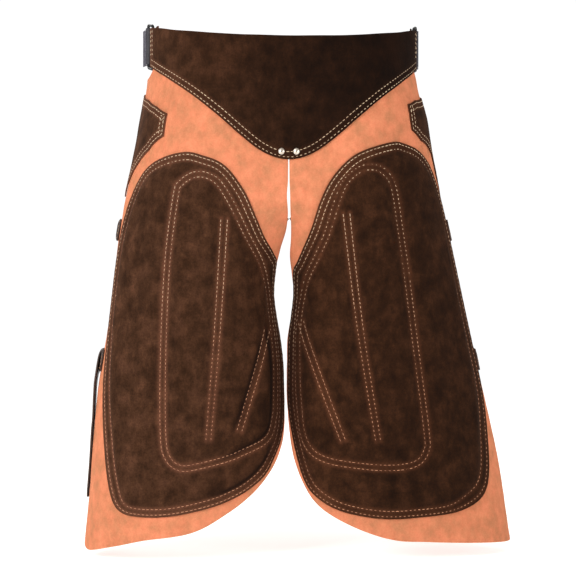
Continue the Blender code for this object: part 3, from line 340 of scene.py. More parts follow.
nickel = mottled("nickel_plate", 2.0, ("BFB3A6", "DDD3C6"), Metallic=1.0, Roughness=0.32)[0]
pale_floor = mottled("pale_matt_floor", 900, ("F1F0EE", "F6F5F3"), 2.0, (0.2, 0.8), Roughness=0.9,
                     Emission_Color=(1, 1, 1, 1), Emission_Strength=0.42)[0]
floor_mesh.materials.append(pale_floor)
print("finishes:", [m.name for m in bpy.data.materials if m.users][:12])

# %% [markdown]
# ## The form of a leg panel
#
# A leather panel bends but hardly stretches, so it is described the way a maker lays it out: by how
# far across the leather a point lies from the centre line, and how high. A short table of level
# sections gives the crest, the side and the inner edge of each leg, and the surface runs along
# quarter ellipses between them. Everything sewn on a panel uses the same function with a little more
# distance out, so nothing floats and nothing sinks. All sizes in these tables are millimetres.

# %% Section tables
SECTION_COLUMNS = ("height", "crest_x", "crest_y", "side_x", "side_y", "inner_x", "inner_y", "wrap")
SECTIONS = {
    LEFT: (
        (40, 65, -122.5, 185.5, 8.5, -60, -85, 0.0),
        (0, 65, -122.5, 185.5, 8.5, -56, -84, 0.0),
        (-40, 66, -123, 186, 8, -50, -80, 0.0),
        (-100, 80, -127, 195.5, 6, -30, -70, 0.0),
        (-150, 90, -129, 204.5, 2, -10, -62, 0.0),
        (-220, 99, -130, 219, -4, -3, -58, 0.3),
        (-250, 102, -129.5, 224.5, -5.5, -2, -57, 0.61),
        (-280, 105, -129, 229, -7, 5, -56, 0.9),
        (-310, 107.5, -128.5, 232.5, -8.5, 13, -55.5, 0.99),
        (-340, 110, -128, 236, -10, 16, -56, 1.0),
        (-370, 112.5, -128, 240, -11.5, 12, -57.5, 1.01),
        (-400, 115, -128, 244, -13, 5.5, -60, 1.0),
        (-430, 117.5, -128.5, 248.5, -15, 1, -63.5, 1.0),
        (-470, 121, -129, 254, -18, 0, -68, 1.0),
        (-515, 125, -130.5, 258, -21, -1, -72.5, 1.0),
        (-560, 129, -132, 261, -24, 3, -76, 1.0),
        (-690, 139, -137, 273, -30, 6, -84, 1.0),
    ),
    RIGHT: (
        (40, 65, -122.5, 188.5, 8.5, -60, -85, 0.0),
        (0, 65, -122.5, 188.5, 8.5, -56, -84, 0.0),
        (-40, 66, -123, 189, 8, -50, -80, 0.0),
        (-100, 80, -127, 202.5, 6, -30, -70, 0.0),
        (-150, 90, -129, 210, 2, -10, -62, 0.0),
        (-220, 101, -130, 225, -4, -3, -58, 0.3),
        (-250, 104, -129.5, 231.5, -5.5, -2, -57, 0.61),
        (-280, 107, -129, 238, -7, -4, -56, 0.9),
        (-310, 110, -128.5, 244.5, -8.5, 4, -55.5, 0.99),
        (-340, 113, -128, 251, -10, 9, -56, 1.0),
        (-370, 116, -128, 257.5, -11.5, 4, -57.5, 1.01),
        (-400, 119, -128, 264, -13, -3.5, -60, 1.0),
        (-430, 122.5, -128.5, 270.5, -15, -3.5, -63.5, 1.0),
        (-470, 127, -129, 279, -18, -3, -68, 1.0),
        (-515, 132.5, -130.5, 288.5, -21, -1, -72.5, 1.0),
        (-560, 138, -132, 297, -24, 1, -76, 1.0),
        (-690, 151, -137, 317, -30, 2, -84, 1.0),
    ),
}

# %% [markdown]
# Soft folds sit on top of the sections. Each row is one trough, or one ridge where the depth is
# negative, with its middle, its turn from level, its length, its width and its depth. The first rows
# are the large ones of the solids and the later ones are the small creases that only show up close,
# uneven on purpose, with similar ones on the sides that the picture hides.

# %% Fold table
FOLD_COLUMNS = ("across", "height", "turn", "length", "width", "depth")
FOLDS = {
    LEFT: (
        (120, -118, 38, 62, 20, 2.2), (58, -606, 24, 70, 22, 2.2), (215, -240, 78, 95, 26, 1.8),
        (302, -330, 84, 90, 22, 2.0), (250, -650, 70, 60, 22, -2.4),
        (70, -150, 30, 40, 9, 0.8), (45, -205, 70, 46, 10, -0.7), (172, -92, 28, 34, 9, 0.8),
        (262, -110, -64, 44, 12, 0.9), (300, -430, 80, 60, 10, 0.9), (312, -560, 74, 56, 11, -0.9),
        (180, -655, 80, 26, 12, 0.9), (110, -640, 76, 24, 10, -0.8), (285, -250, 66, 40, 9, 0.7),
        (24, -450, 84, 60, 9, 0.7),
    ),
    RIGHT: (
        (135, -112, -44, 66, 21, 2.8), (50, -606, -22, 64, 22, 2.0), (225, -235, -80, 90, 26, 1.6),
        (318, -350, -84, 95, 22, 2.2), (290, -650, -72, 70, 24, -2.8),
        (92, -128, -50, 46, 9, 1.0), (160, -92, -38, 40, 8, 0.9), (40, -200, -74, 44, 10, -0.7),
        (286, -105, 62, 40, 11, 0.9), (322, -440, -80, 62, 10, 0.9), (336, -570, -74, 54, 11, -0.9),
        (210, -660, -78, 26, 12, 0.9), (150, -652, -74, 24, 10, -0.8), (296, -260, -66, 38, 9, 0.7),
        (20, -455, -84, 60, 9, 0.7),
    ),
}


# %% Form functions
def unit(vectors):
    """The same directions with length one."""
    return vectors / np.linalg.norm(vectors, axis=-1, keepdims=True)


def ease(t):
    """Smooth step from 0 to 1."""
    return t * t * (3 - 2 * t)


def walked_along(line):
    """How far along a line each of its points is."""
    return np.concatenate([[0], np.cumsum(np.linalg.norm(np.diff(line, axis=0), axis=1))])


def column(table, index, height):
    """Read one column of a section table at any height, smoothly between its rows."""
    rows = np.array(table, dtype=float)[::-1]
    levels = rows[:, 0]
    values = rows[:, index]
    slopes = np.gradient(values, levels)
    low = np.clip(np.searchsorted(levels, height) - 1, 0, len(levels) - 2)
    span = levels[low + 1] - levels[low]
    t = np.clip((height - levels[low]) / span, 0, 1)
    return (
        (1 + 2 * t) * (1 - t) ** 2 * values[low]
        + t * (1 - t) ** 2 * span * slopes[low]
        + t * t * (3 - 2 * t) * values[low + 1]
        + t * t * (t - 1) * span * slopes[low + 1]
    )


TURNS = np.linspace(0, 2.6, 105)


def quarter(distance, reach, depth):
    """Walk a distance along an ellipse from its foremost point; return the steps sideways and back."""
    speed = np.hypot(reach[:, None] * np.cos(TURNS), depth[:, None] * np.sin(TURNS))
    steps = (speed[:, 1:] + speed[:, :-1]) / 2 * np.diff(TURNS)
    walked = np.concatenate([np.zeros((len(reach), 1)), np.cumsum(steps, axis=1)], axis=1)
    below = np.clip((walked < distance[:, None]).sum(axis=1) - 1, 0, len(TURNS) - 2)
    row = np.arange(len(reach))
    part = (distance - walked[row, below]) / (walked[row, below + 1] - walked[row, below])
    turn = TURNS[below] + part * (TURNS[1] - TURNS[0])
    return reach * np.sin(turn), depth * (1 - np.cos(turn))


CENTRE_DIP = 6.0


def leg_form(side, across, height):
    """Point of a leg panel's outer face before its folds."""
    across, height = np.broadcast_arrays(np.asarray(across, float), np.asarray(height, float))
    shape = across.shape
    across = across.ravel()
    height = height.ravel()
    at = {name: column(SECTIONS[side], k, height) for k, name in enumerate(SECTION_COLUMNS)}
    walk = np.abs(across - at["crest_x"])
    outward = across >= at["crest_x"]
    side_step = quarter(walk, at["side_x"] - at["crest_x"], at["side_y"] - at["crest_y"])
    inner_step = quarter(walk, at["crest_x"] - at["inner_x"], at["inner_y"] - at["crest_y"])
    dip = CENTRE_DIP * (1 - np.cos(np.pi * np.clip(walk / at["crest_x"], 0, 2))) / 2
    wrap = ease(np.clip(at["wrap"], 0, 1))
    inward_x = (1 - wrap) * walk + wrap * inner_step[0]
    inward_y = (1 - wrap) * dip + wrap * inner_step[1]
    x = np.where(outward, at["crest_x"] + side_step[0], at["crest_x"] - inward_x)
    y = at["crest_y"] + np.where(outward, side_step[1], inward_y)
    return np.stack([side * x.reshape(shape), y.reshape(shape), height.reshape(shape)], axis=-1)


def leg_along(side, across, height):
    """Direction across a leg panel, away from the centre line, not yet of length one."""
    return leg_form(side, across + 1.0, height) - leg_form(side, across - 1.0, height)


def leg_normal(side, across, height):
    """Outward direction of a leg panel."""
    up = leg_form(side, across, height + 1.0) - leg_form(side, across, height - 1.0)
    return unit(side * np.cross(leg_along(side, across, height), up))


def fold_depth(side, across, height):
    """Sum of the soft folds, inward where positive."""
    total = np.zeros(np.broadcast(across, height).shape)
    for row in FOLDS[side]:
        fold = dict(zip(FOLD_COLUMNS, row))
        angle = math.radians(fold["turn"])
        aside = across - fold["across"]
        above = height - fold["height"]
        along = (aside * math.cos(angle) + above * math.sin(angle)) / fold["length"]
        beside = (above * math.cos(angle) - aside * math.sin(angle)) / fold["width"]
        total = total + fold["depth"] * np.exp(-along**2 - beside**2)
    return total


def leg_point(side, across, height, out):
    """Point at a distance out from a leg panel's outer face."""
    across = np.asarray(across, float)
    height = np.asarray(height, float)
    lift = np.asarray(out, float) - fold_depth(side, across, height)
    return leg_form(side, across, height) + leg_normal(side, across, height) * lift[..., None]


knee_crest = leg_point(LEFT, np.array([115.0]), np.array([-400.0]), 0.0)[0]
print("crest of the left leg at the knee:", knee_crest.round(1))


# %% [markdown]
# ## From a cut line to a sheet of leather
#
# Every piece starts as an outline on the flat. It is filled with evenly staggered points, joined into
# triangles by Delaunay's rule, and each point is then carried to its place on the body. Real leather
# has a cut edge about two millimetres thick with worn corners, so the outline is drawn in by a hair
# on both faces and the wall between them bulges. The sheet is closed all round, as the hide is.

# %% Outline helpers
def smooth_line(points, step, closed=False):
    """Catmull-Rom curve through the points, with a point about every step."""
    points = np.array(points, dtype=float)
    count = len(points)
    line = []
    for k in range(count if closed else count - 1):
        if closed:
            before, start, end, after = (points[(k + shift) % count] for shift in (-1, 0, 1, 2))
        else:
            before = points[max(k - 1, 0)]
            start = points[k]
            end = points[k + 1]
            after = points[min(k + 2, count - 1)]
        pieces = max(1, round(float(np.linalg.norm(end - start)) / step))
        for t in np.arange(pieces) / pieces:
            line.append(0.5 * (
                2 * start + (end - before) * t
                + (2 * before - 5 * start + 4 * end - after) * t * t
                + (3 * start - before - 3 * end + after) * t ** 3
            ))
    if not closed:
        line.append(points[-1])
    return np.array(line)


def cut_line(points, step):
    """Nearly straight cuts between corners, each bowed a little."""
    line = []
    points = [np.array(point, dtype=float) for point in points]
    for start, end in zip(points[:-1], points[1:]):
        length = float(np.linalg.norm(end - start))
        aside = np.array([start[1] - end[1], end[0] - start[0]]) / length
        pieces = max(1, round(length / step))
        for t in np.arange(pieces) / pieces:
            line.append(start + (end - start) * t + aside * 0.6 * math.sin(math.pi * t))
    line.append(points[-1])
    return np.array(line)


def nearest(places, line):
    """Distance from each place to a polyline, and how far along the line that is."""
    distance = np.full(len(places), 1e9)
    walked = np.zeros(len(places))
    runs = line[1:] - line[:-1]
    lengths = np.linalg.norm(runs, axis=1)
    before = walked_along(line)
    for k in range(len(runs)):
        reach = places - line[k]
        t = np.clip(reach @ runs[k] / max(lengths[k] ** 2, 1e-9), 0, 1)
        away = np.linalg.norm(reach - t[:, None] * runs[k], axis=1)
        closer = away < distance
        distance[closer] = away[closer]
        walked[closer] = before[k] + t[closer] * lengths[k]
    return distance, walked


def inside(places, outline):
    """Which places lie inside a closed outline."""
    hits = np.zeros(len(places), dtype=int)
    after = np.roll(outline, -1, axis=0)
    for (ax, ay), (bx, by) in zip(outline, after):
        if ay == by:
            continue
        crosses = (ay > places[:, 1]) != (by > places[:, 1])
        at = ax + (places[:, 1] - ay) / (by - ay) * (bx - ax)
        hits += crosses & (places[:, 0] < at)
    return hits % 2 == 1


def closed_loop(outline):
    """The outline with its first point again at the end."""
    return np.vstack([outline, outline[:1]])


def inset(outline, distance):
    """Outline drawn inward by a distance, for an outline that runs anticlockwise."""
    run = np.roll(outline, -1, axis=0) - np.roll(outline, 1, axis=0)
    return outline + unit(np.stack([-run[:, 1], run[:, 0]], -1)) * distance


def anticlockwise(outline):
    """The outline in anticlockwise order."""
    after = np.roll(outline, -1, axis=0)
    area = (outline[:, 0] * after[:, 1] - outline[:, 1] * after[:, 0]).sum()
    return outline if area > 0 else outline[::-1]


def fill_places(outline, step):
    """Staggered points inside an outline."""
    low = outline.min(axis=0) - step
    high = outline.max(axis=0) + step
    rows = np.arange(low[1], high[1], step * 0.866)
    grid = []
    for k, height in enumerate(rows):
        across = np.arange(low[0] + (step / 2 if k % 2 else 0), high[0], step)
        grid.append(np.stack([across, np.full(len(across), height)], -1))
    grid = np.vstack(grid)
    grid = grid[inside(grid, outline)]
    return grid[nearest(grid, closed_loop(outline))[0] > step * 0.45]


def fill_triangles(outline, places):
    """Join an outline and the places inside it into triangles."""
    flat = np.vstack([outline, places])
    edges = [(k, (k + 1) % len(outline)) for k in range(len(outline))]
    result = delaunay_2d_cdt([Vector(point) for point in flat], edges, [], 0, 1e-5, True)
    source = np.array([ids[0] for ids in result[3]])
    filled = source[np.array(result[2])]
    return filled[inside(flat[filled].mean(axis=1), outline)]


# %% Sheet maker
EDGE_ROUND = 0.55


def make_piece(name, points, faces, finish, map_name="", flat=()):
    """Make a mesh object from points in millimetres, facing outward, with its flat form as UV map."""
    mesh = bpy.data.meshes.new(name)
    mesh.from_pydata((np.asarray(points) * MM).tolist(), [], faces)
    if map_name:
        corners = np.zeros(len(mesh.loops), dtype=np.int32)
        mesh.loops.foreach_get("vertex_index", corners)
        uv = mesh.uv_layers.new(name=map_name)
        uv.data.foreach_set("uv", (np.asarray(flat)[corners] * MM).astype(np.float32).ravel())
    mesh.materials.append(finish)
    mesh.shade_smooth()
    form = bmesh.new()
    form.from_mesh(mesh)
    if form.calc_volume(signed=True) < 0:
        mesh.flip_normals()
    form.free()
    piece = bpy.data.objects.new(name, mesh)
    SCENE.collection.objects.link(piece)
    return piece


def leather_sheet(name, outline, step, point_at, outer, inner, finish, seam=None, fold=None, inner_step=7.0):
    """Close a sheet of leather over its cut outline and return the piece."""
    outline = anticlockwise(outline)
    rim = inset(outline, EDGE_ROUND)
    fine = fill_places(rim, step)
    coarse = fill_places(rim, inner_step)
    parts = [
        (np.vstack([rim, fine]), outer, 0.0, 0.0),
        (outline, outer, -EDGE_ROUND, 1.0),
        (outline, inner, EDGE_ROUND, 1.0),
        (np.vstack([rim, coarse]), inner, 0.0, 0.0),
    ]
    flat = np.vstack([part[0] for part in parts])
    points = np.vstack([point_at(p[:, 0], p[:, 1], face(p) + shift) for p, face, shift, _ in parts])
    marks = {"edge": np.concatenate([np.full(len(p), value) for p, _, _, value in parts])}
    # the seam mark is pressed nap with painted shade in its groove; the fold mark is painted shade in a sharp
    # crease
    for word, strength in (("seam", seam), ("fold", fold)):
        marks[word] = np.zeros(len(flat))
        if strength is not None:
            marks[word][:len(parts[0][0])] = strength(parts[0][0])
    starts = np.cumsum([0] + [len(part[0]) for part in parts])
    faces = [fill_triangles(rim, fine), fill_triangles(rim, coarse)[:, ::-1] + starts[3]]
    here = np.arange(len(outline))
    after = (here + 1) % len(outline)
    for low, high in ((starts[0], starts[1]), (starts[1], starts[2]), (starts[2], starts[3])):
        faces.append(np.stack([low + here, high + here, high + after], -1))
        faces.append(np.stack([low + here, high + after, low + after], -1))
    piece = make_piece(name, points, np.vstack(faces).tolist(), finish, "cut", flat)
    for word, values in marks.items():
        stored = piece.data.attributes.new(word, "FLOAT", "POINT")
        stored.data.foreach_set("value", np.asarray(values, np.float32))
    return piece


def on_leg(side):
    """Point function of one leg panel."""
    return lambda across, height, out: leg_point(side, across, height, out)


def soft_noise(places, size, seed):
    """Smooth unevenness between -1 and 1, made of a few waves about size long."""
    random = np.random.default_rng(seed)
    total = np.zeros(len(places))
    for _ in range(7):
        angle = random.uniform(0, 2 * math.pi)
        pace = 2 * math.pi / (size * random.uniform(0.7, 1.5))
        wave = places[:, 0] * math.cos(angle) + places[:, 1] * math.sin(angle)
        total += np.sin(wave * pace + random.uniform(0, 2 * math.pi))
    return total / 3.7


def slack(places, waves):
    """Unevenness of slack leather, from rows of a size, a depth and a seed."""
    return sum(depth * soft_noise(places, size, seed) for size, depth, seed in waves)


# %% [markdown]
# ## The leg panels
#
# Each panel is cut in one piece from the yoke to the hem. It is the only tan leather, so it gets the
# quietest surface: broad slack, a few creases by the hip and a cut edge paler than the face.

# %% Cut lines of the leather
LAY_GAP = 0.5
PANEL_WALL = 1.8
YOKE_WALL = 2.0
YOKE_COLUMNS = ("across", "top", "bottom")
YOKE_EDGES = (
    (0, 4, -161), (22, 4, -157), (42, 4, -147), (64, 4, -130), (96, 6, -102), (129, 10, -76),
    (158, 14, -58), (190, 20, -42), (225, 24.5, -28.5), (270, 24.5, -28.5),
)
SIDE_EDGE = {
    LEFT: ((224, -36), (240, -41), (278, -47), (290, -80), (298, -130), (308, -210), (316, -290),
           (324, -390), (329, -470), (332, -560), (335, -640), (334, -662), (328, -674), (316, -680)),
    RIGHT: ((224, -36), (240, -41), (278, -47), (290, -80), (298, -130), (305, -210), (315, -290),
            (331, -390), (342, -470), (352, -560), (360, -640), (359, -672), (346, -678)),
}
HEM_EDGE = {
    LEFT: ((290, -683), (237, -673), (193, -663), (128, -652), (81, -628), (47, -605), (23, -581),
           (5, -558), (-8, -530), (-12, -495)),
    RIGHT: ((261, -673), (186, -668), (141, -665), (99, -653), (56, -633), (30, -613), (12, -586),
            (-1, -555), (-8, -525), (-12, -495)),
}
INNER_EDGE = {
    LEFT: ((-14, -470), (-14, -420), (-13, -345), (-13, -300), (-12, -266), (-7, -240), (0.6, -212),
           (0.6, -190)),
    RIGHT: ((-14, -470), (-14, -420), (-13, -345), (-12, -300), (-6, -266), (-2, -240), (0.6, -212),
            (0.6, -190)),
}


def yoke_edge(across, name):
    """Top or bottom height of the yoke at a distance from the centre line."""
    rows = np.array(YOKE_EDGES, dtype=float)
    mirrored = np.vstack([rows[:0:-1] * (-1, 1, 1), rows])
    return column(mirrored[::-1], YOKE_COLUMNS.index(name), np.asarray(across, float))


# %% Leg panels
TUCK = 18.0
TUCK_BY_RING = 6.0
RING_END = 225.0
PANEL_SLACK = ((26, 0.12, 5),)


def panel_outline(side):
    """Outline of a leg panel: under the yoke, down the side, round the hem and up the inner edge."""
    under = np.arange(12, 221, 5.5)
    lower_edge = yoke_edge(under, "bottom")
    tucked = lower_edge + np.where(under > RING_END - 46, TUCK_BY_RING, TUCK)
    by_ring = np.minimum(tucked, yoke_edge(RING_END, "bottom") - 1.2)
    tucked = np.where(under > RING_END - 30, by_ring, tucked)
    top = np.stack([under, tucked], -1)
    centre = INNER_EDGE[side][-1][0]
    top = np.vstack([[centre, yoke_edge(centre, "bottom") + TUCK], top])
    around = smooth_line(SIDE_EDGE[side] + HEM_EDGE[side] + INNER_EDGE[side], 5.0)
    return np.vstack([top, around])


panels = {}
for side, word in WORDS.items():
    outline = panel_outline(side)
    panels[side] = leather_sheet(
        f"leg_panel_{word}", outline, 4.0, on_leg(side),
        lambda p: slack(p, PANEL_SLACK), lambda p: slack(p, PANEL_SLACK) - PANEL_WALL, tan_suede)
    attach(panels[side], "root")
    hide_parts(f"panel_{word}")
    print(panels[side].name, len(panels[side].data.polygons), "triangles")

# %% [markdown]
# ## Thread
#
# Every seam here is a double row of lock stitches. A stitch is a short thread that comes up through
# one needle hole and goes down through the next, so each one is a small arch with its ends buried.
# Geometry Nodes repeat it: the tree takes points that carry two directions, along the row and out of
# the leather, stands one arch on each with a little unevenness, and gives them the thread's finish.

# %% Stitch tree
STITCH_PITCH = 5.8
STITCH_LENGTH = 4.7
THREAD_THICK = 0.78
STITCH_SINK = 0.65
STITCH_CROWN = 1.0
RUN_REACH = 1.2
LIFT = 1.0


def stitch_tree():
    """Geometry Nodes tree that stands a thread arch on every point."""
    tree = bpy.data.node_groups.new("stitch_rows", "GeometryNodeTree")
    face = tree.interface
    face.new_socket("Row points", in_out="INPUT", socket_type="NodeSocketGeometry")
    for name, value in (("Stitch length", STITCH_LENGTH * MM), ("Thread thickness", THREAD_THICK * MM),
                        ("End depth", STITCH_SINK * MM), ("Crown", STITCH_CROWN * MM), ("Unevenness", 0.06)):
        face.new_socket(name, in_out="INPUT", socket_type="NodeSocketFloat").default_value = value
    face.new_socket("Seed", in_out="INPUT", socket_type="NodeSocketInt").default_value = 3
    face.new_socket("Thread", in_out="INPUT", socket_type="NodeSocketMaterial")
    face.new_socket("Stitches", in_out="OUTPUT", socket_type="NodeSocketGeometry")
    given = add_node(tree, "NodeGroupInput").outputs
    half = add_node(tree, "ShaderNodeMath", {0: given["Stitch length"], 1: 0.5},
                    operation="MULTIPLY").outputs[0]
    back, down, radius, least, most = [
        add_node(tree, "ShaderNodeMath", {0: first, 1: second}, operation=operation).outputs[0]
        for operation, first, second in (
            ("MULTIPLY", half, -1.0), ("MULTIPLY", given["End depth"], -1.0),
            ("MULTIPLY", given["Thread thickness"], 0.5), ("SUBTRACT", 1.0, given["Unevenness"]),
            ("ADD", 1.0, given["Unevenness"]))]
    start, crown, end = [add_node(tree, "ShaderNodeCombineXYZ", feeds).outputs[0]
                         for feeds in ({"X": back, "Z": down}, {"Z": given["Crown"]}, {"X": half, "Z": down})]
    arch = add_node(tree, "GeometryNodeCurveQuadraticBezier",
                    {"Resolution": 6, "Start": start, "Middle": crown, "End": end}).outputs[0]
    section = add_node(tree, "GeometryNodeCurvePrimitiveCircle",
                       {"Resolution": 6, "Radius": radius}).outputs[0]
    strand = add_node(tree, "GeometryNodeCurveToMesh",
                      {"Curve": arch, "Profile Curve": section, "Fill Caps": True}).outputs[0]
    run, outward = [
        add_node(tree, "GeometryNodeInputNamedAttribute", {"Name": word}, data_type="FLOAT_VECTOR").outputs[0]
        for word in ("run", "outward")]
    turn = add_node(tree, "FunctionNodeAxesToRotation", {"Primary Axis": run, "Secondary Axis": outward},
                    primary_axis="X", secondary_axis="Z").outputs[0]
    # a random number's least and greatest values are its third and fourth inputs
    size = add_node(tree, "FunctionNodeRandomValue", {2: least, 3: most, "Seed": given["Seed"]},
                    data_type="FLOAT").outputs[1]
    made = add_node(tree, "GeometryNodeInstanceOnPoints", {
        "Points": given["Row points"], "Instance": strand, "Rotation": turn, "Scale": size}).outputs[0]
    for kind in ("GeometryNodeRealizeInstances", "GeometryNodeSetShadeSmooth"):
        made = add_node(tree, kind, {"Geometry": made}).outputs[0]
    dyed = add_node(tree, "GeometryNodeSetMaterial",
                    {"Geometry": made, "Material": given["Thread"]}).outputs[0]
    add_node(tree, "NodeGroupOutput", {"Stitches": dyed})
    return tree


STITCHES = stitch_tree()


def sew(name, rows, point_at, face_out, pitch=STITCH_PITCH):
    """Sew rows, each a line on the flat, and return the thread as one piece."""
    centres, runs, outs = [], [], []
    for row in rows:
        walked = walked_along(row)
        count = max(1, int(walked[-1] / pitch))
        at = (np.arange(count) + 0.5) * walked[-1] / count
        for shift, store in ((-RUN_REACH, runs), (RUN_REACH, runs), (0.0, centres)):
            flat = np.stack([np.interp(at + shift, walked, row[:, k]) for k in (0, 1)], -1)
            store.append(point_at(flat[:, 0], flat[:, 1], face_out(flat)))
        outs.append(point_at(flat[:, 0], flat[:, 1], face_out(flat) + LIFT) - centres[-1])
    run = np.vstack(runs[1::2]) - np.vstack(runs[0::2])
    mesh = bpy.data.meshes.new(name)
    mesh.from_pydata((np.vstack(centres) * MM).tolist(), [], [])
    for word, values in (("run", run), ("outward", np.vstack(outs))):
        stored = mesh.attributes.new(word, "FLOAT_VECTOR", "POINT")
        stored.data.foreach_set("vector", np.ascontiguousarray(values, dtype=np.float32).ravel())
    guide = bpy.data.objects.new(name + "_guide", mesh)
    SCENE.collection.objects.link(guide)
    sewing = guide.modifiers.new("sewing", "NODES")
    sewing.node_group = STITCHES
    sockets = {item.name: item.identifier for item in STITCHES.interface.items_tree}
    sewing[sockets["Thread"]] = thread
    sewing[sockets["Seed"]] = len(name)
    made = bpy.data.meshes.new_from_object(guide.evaluated_get(bpy.context.evaluated_depsgraph_get()))
    bpy.data.objects.remove(guide, do_unlink=True)
    made.name = name
    for stored in [a.name for a in made.attributes if a.name in ("run", "outward")]:
        made.attributes.remove(made.attributes[stored])
    piece = bpy.data.objects.new(name, made)
    SCENE.collection.objects.link(piece)
    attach(piece, "root")
    print(name, len(run), "stitches,", len(made.polygons), "faces")
    return piece


def beside(line, distance):
    """Line that runs beside another on the flat."""
    run = np.gradient(line, axis=0)
    return line + unit(np.stack([-run[:, 1], run[:, 0]], -1)) * np.asarray(distance)[..., None]


# %% [markdown]
# ## Quilted knee pads
#
# The pads take the rasp and the hoof, so they are a second layer of brown split with a thin filling,
# held by double rows: two round the edge, two that run as a long arch, and short lines in the middle.
# The filling swells between the rows. Thread pulls the leather down into a groove, tightest at each
# needle hole, and the slack leather puckers beside it. A cloth simulation at this thickness would
# lose rows that are only eight millimetres apart, so the swell, the grooves and the puckers are
# worked out for each point from its distance to the nearest row.

# %% Pad cut lines and seams
PAD_EDGE = {
    LEFT: ((143, -152), (193, -165), (228, -190), (254, -235), (271, -300), (277, -375), (272, -460),
           (259, -548), (245, -602), (228, -626), (197, -632), (154, -630), (102, -619), (69, -607),
           (49, -596), (27, -578), (12, -555), (1, -533), (-6, -500), (-8, -455), (-8, -400), (-8, -340),
           (-5, -298), (9, -284), (29, -263), (44, -235), (60, -202), (85, -170), (113, -157)),
    RIGHT: ((143, -136), (163, -137.5), (191, -145), (217, -159.5), (233.5, -177), (246, -199),
            (256, -229), (262.5, -263), (270.5, -315), (277.5, -360), (285, -400), (296, -465),
            (293, -525), (286, -580), (268, -612), (230, -629), (173, -635), (120, -636), (67, -626),
            (34, -608), (18, -588), (7, -556), (0, -530), (-6, -502), (-9, -470), (-9, -400),
            (-9, -345), (-5, -309), (5, -296), (16, -278), (29, -251), (41, -217), (56, -187),
            (79, -161), (104, -147)),
}
ARCH_SEAM = {
    LEFT: ((12, -495), (19, -522), (29, -534), (43, -541), (61, -548), (79, -555), (120, -565), (144, -567),
           (160, -554), (166, -521), (166, -413), (161, -297), (150, -208), (144, -194), (134, -186),
           (124, -182), (113, -182), (102, -186), (93, -193), (83, -208), (73, -226), (63, -246),
           (53, -265), (40, -285), (30, -301), (21, -320), (14, -345), (11, -400), (10, -450), (12, -495)),
    RIGHT: ((9, -453), (10, -471), (12, -492), (14, -513), (17, -527), (22, -539), (29, -548), (41, -556),
            (67, -563), (128, -569), (168, -564), (183, -546), (183, -519), (169, -406), (157, -310),
            (145, -226), (142, -207), (138, -192), (131, -181), (120, -173), (107, -171), (94, -174),
            (82, -183), (72, -195), (65, -213), (61, -225), (55, -245), (49, -263), (43, -276), (37, -289),
            (29, -303), (20, -320), (13, -342), (9, -370), (8, -410), (9, -453)),
}
SHORT_SEAMS = {
    LEFT: (((86, -240), (95, -386), (107, -532)), ((22, -387), (45, -456), (66, -521))),
    RIGHT: (((76, -232), (95, -387), (118, -534)), ((12, -376), (42, -455), (72, -534))),
}
# creases from use: the line, its width and its depth
PAD_CREASES = {
    LEFT: (
        (((100, -560), (79, -551), (62, -543), (45, -535), (34, -528), (26, -519), (22, -508), (20, -490),
          (19, -460), (20, -420), (26, -370)), 3.4, 2.6),
        (((112, -608), (76, -595), (52, -581), (36, -566), (26, -552), (18, -530)), 3.4, 1.8),
        (((28, -384), (52, -458), (74, -524)), 4.0, 2.4),
        (((120, -300), (128, -350), (126, -410)), 14.0, 0.7),
        (((205, -300), (214, -380), (208, -450)), 18.0, 0.9),
        (((150, -600), (180, -598), (215, -604)), 8.0, 0.7),
        (((40, -330), (62, -352), (84, -360)), 9.0, 0.9)),
    RIGHT: (
        (((40, -330), (60, -345), (78, -350)), 7.0, 0.8),
        (((150, -250), (190, -262), (225, -285)), 12.0, 0.7),
        (((215, -330), (228, -410), (224, -470)), 18.0, 0.9),
        (((60, -420), (90, -430), (120, -424)), 8.0, 0.6),
        (((50, -590), (90, -602), (140, -604)), 8.0, 0.7), (((19, -345), (16, -400), (18, -470)), 5.0, 0.9)),
}

# %% Pad relief
PAD_WALL = 2.0
PAD_RISE = 3.9
PAD_MARGIN = 11.0
SEAM_HALF = 3.7
RISE_REACH = 15.0
EDGE_ROWS = (3.3, 10.4)
SHARP_CREASE = 1.5
# how far the painted shade in a sharp crease goes toward near-black
CREASE_SHADE_STRENGTH = 0.92
CREASE_FADE = 26.0
GROOVE_DEPTH = 0.8
PUCKER_HEIGHT = 0.3
# strength of the seam mark: pressed nap, with painted shade in the groove
SEAM_PRESS_AND_SHADE = 0.75
PAD_SLACK = ((62, 0.55, 11), (21, 0.2, 12))
OUTER_SEAM_FROM = 205.0
OUTER_SEAM_OVER = 60.0


def seam_allowance(places):
    """How much wider the edge seam is at the outer side, where the leather turns round the leg."""
    t = np.clip((places[:, 0] - OUTER_SEAM_FROM) / OUTER_SEAM_OVER, 0, 1)
    return 1 + 0.8 * ease(t)


def pad_rows(side, outline):
    """Every stitch row of a pad, on the flat."""
    wide = seam_allowance(outline)[:, None]
    rows = [closed_loop(inset(outline, distance * wide)) for distance in EDGE_ROWS]
    arch = smooth_line(ARCH_SEAM[side], 6.0)
    rows += [beside(arch, SEAM_HALF), beside(arch, -SEAM_HALF)]
    for line in SHORT_SEAMS[side]:
        middle = smooth_line(line, 6.0)
        spread = np.linspace(4.4, 3.3, len(middle))
        rows += [beside(middle, spread), beside(middle, -spread)]
    return rows


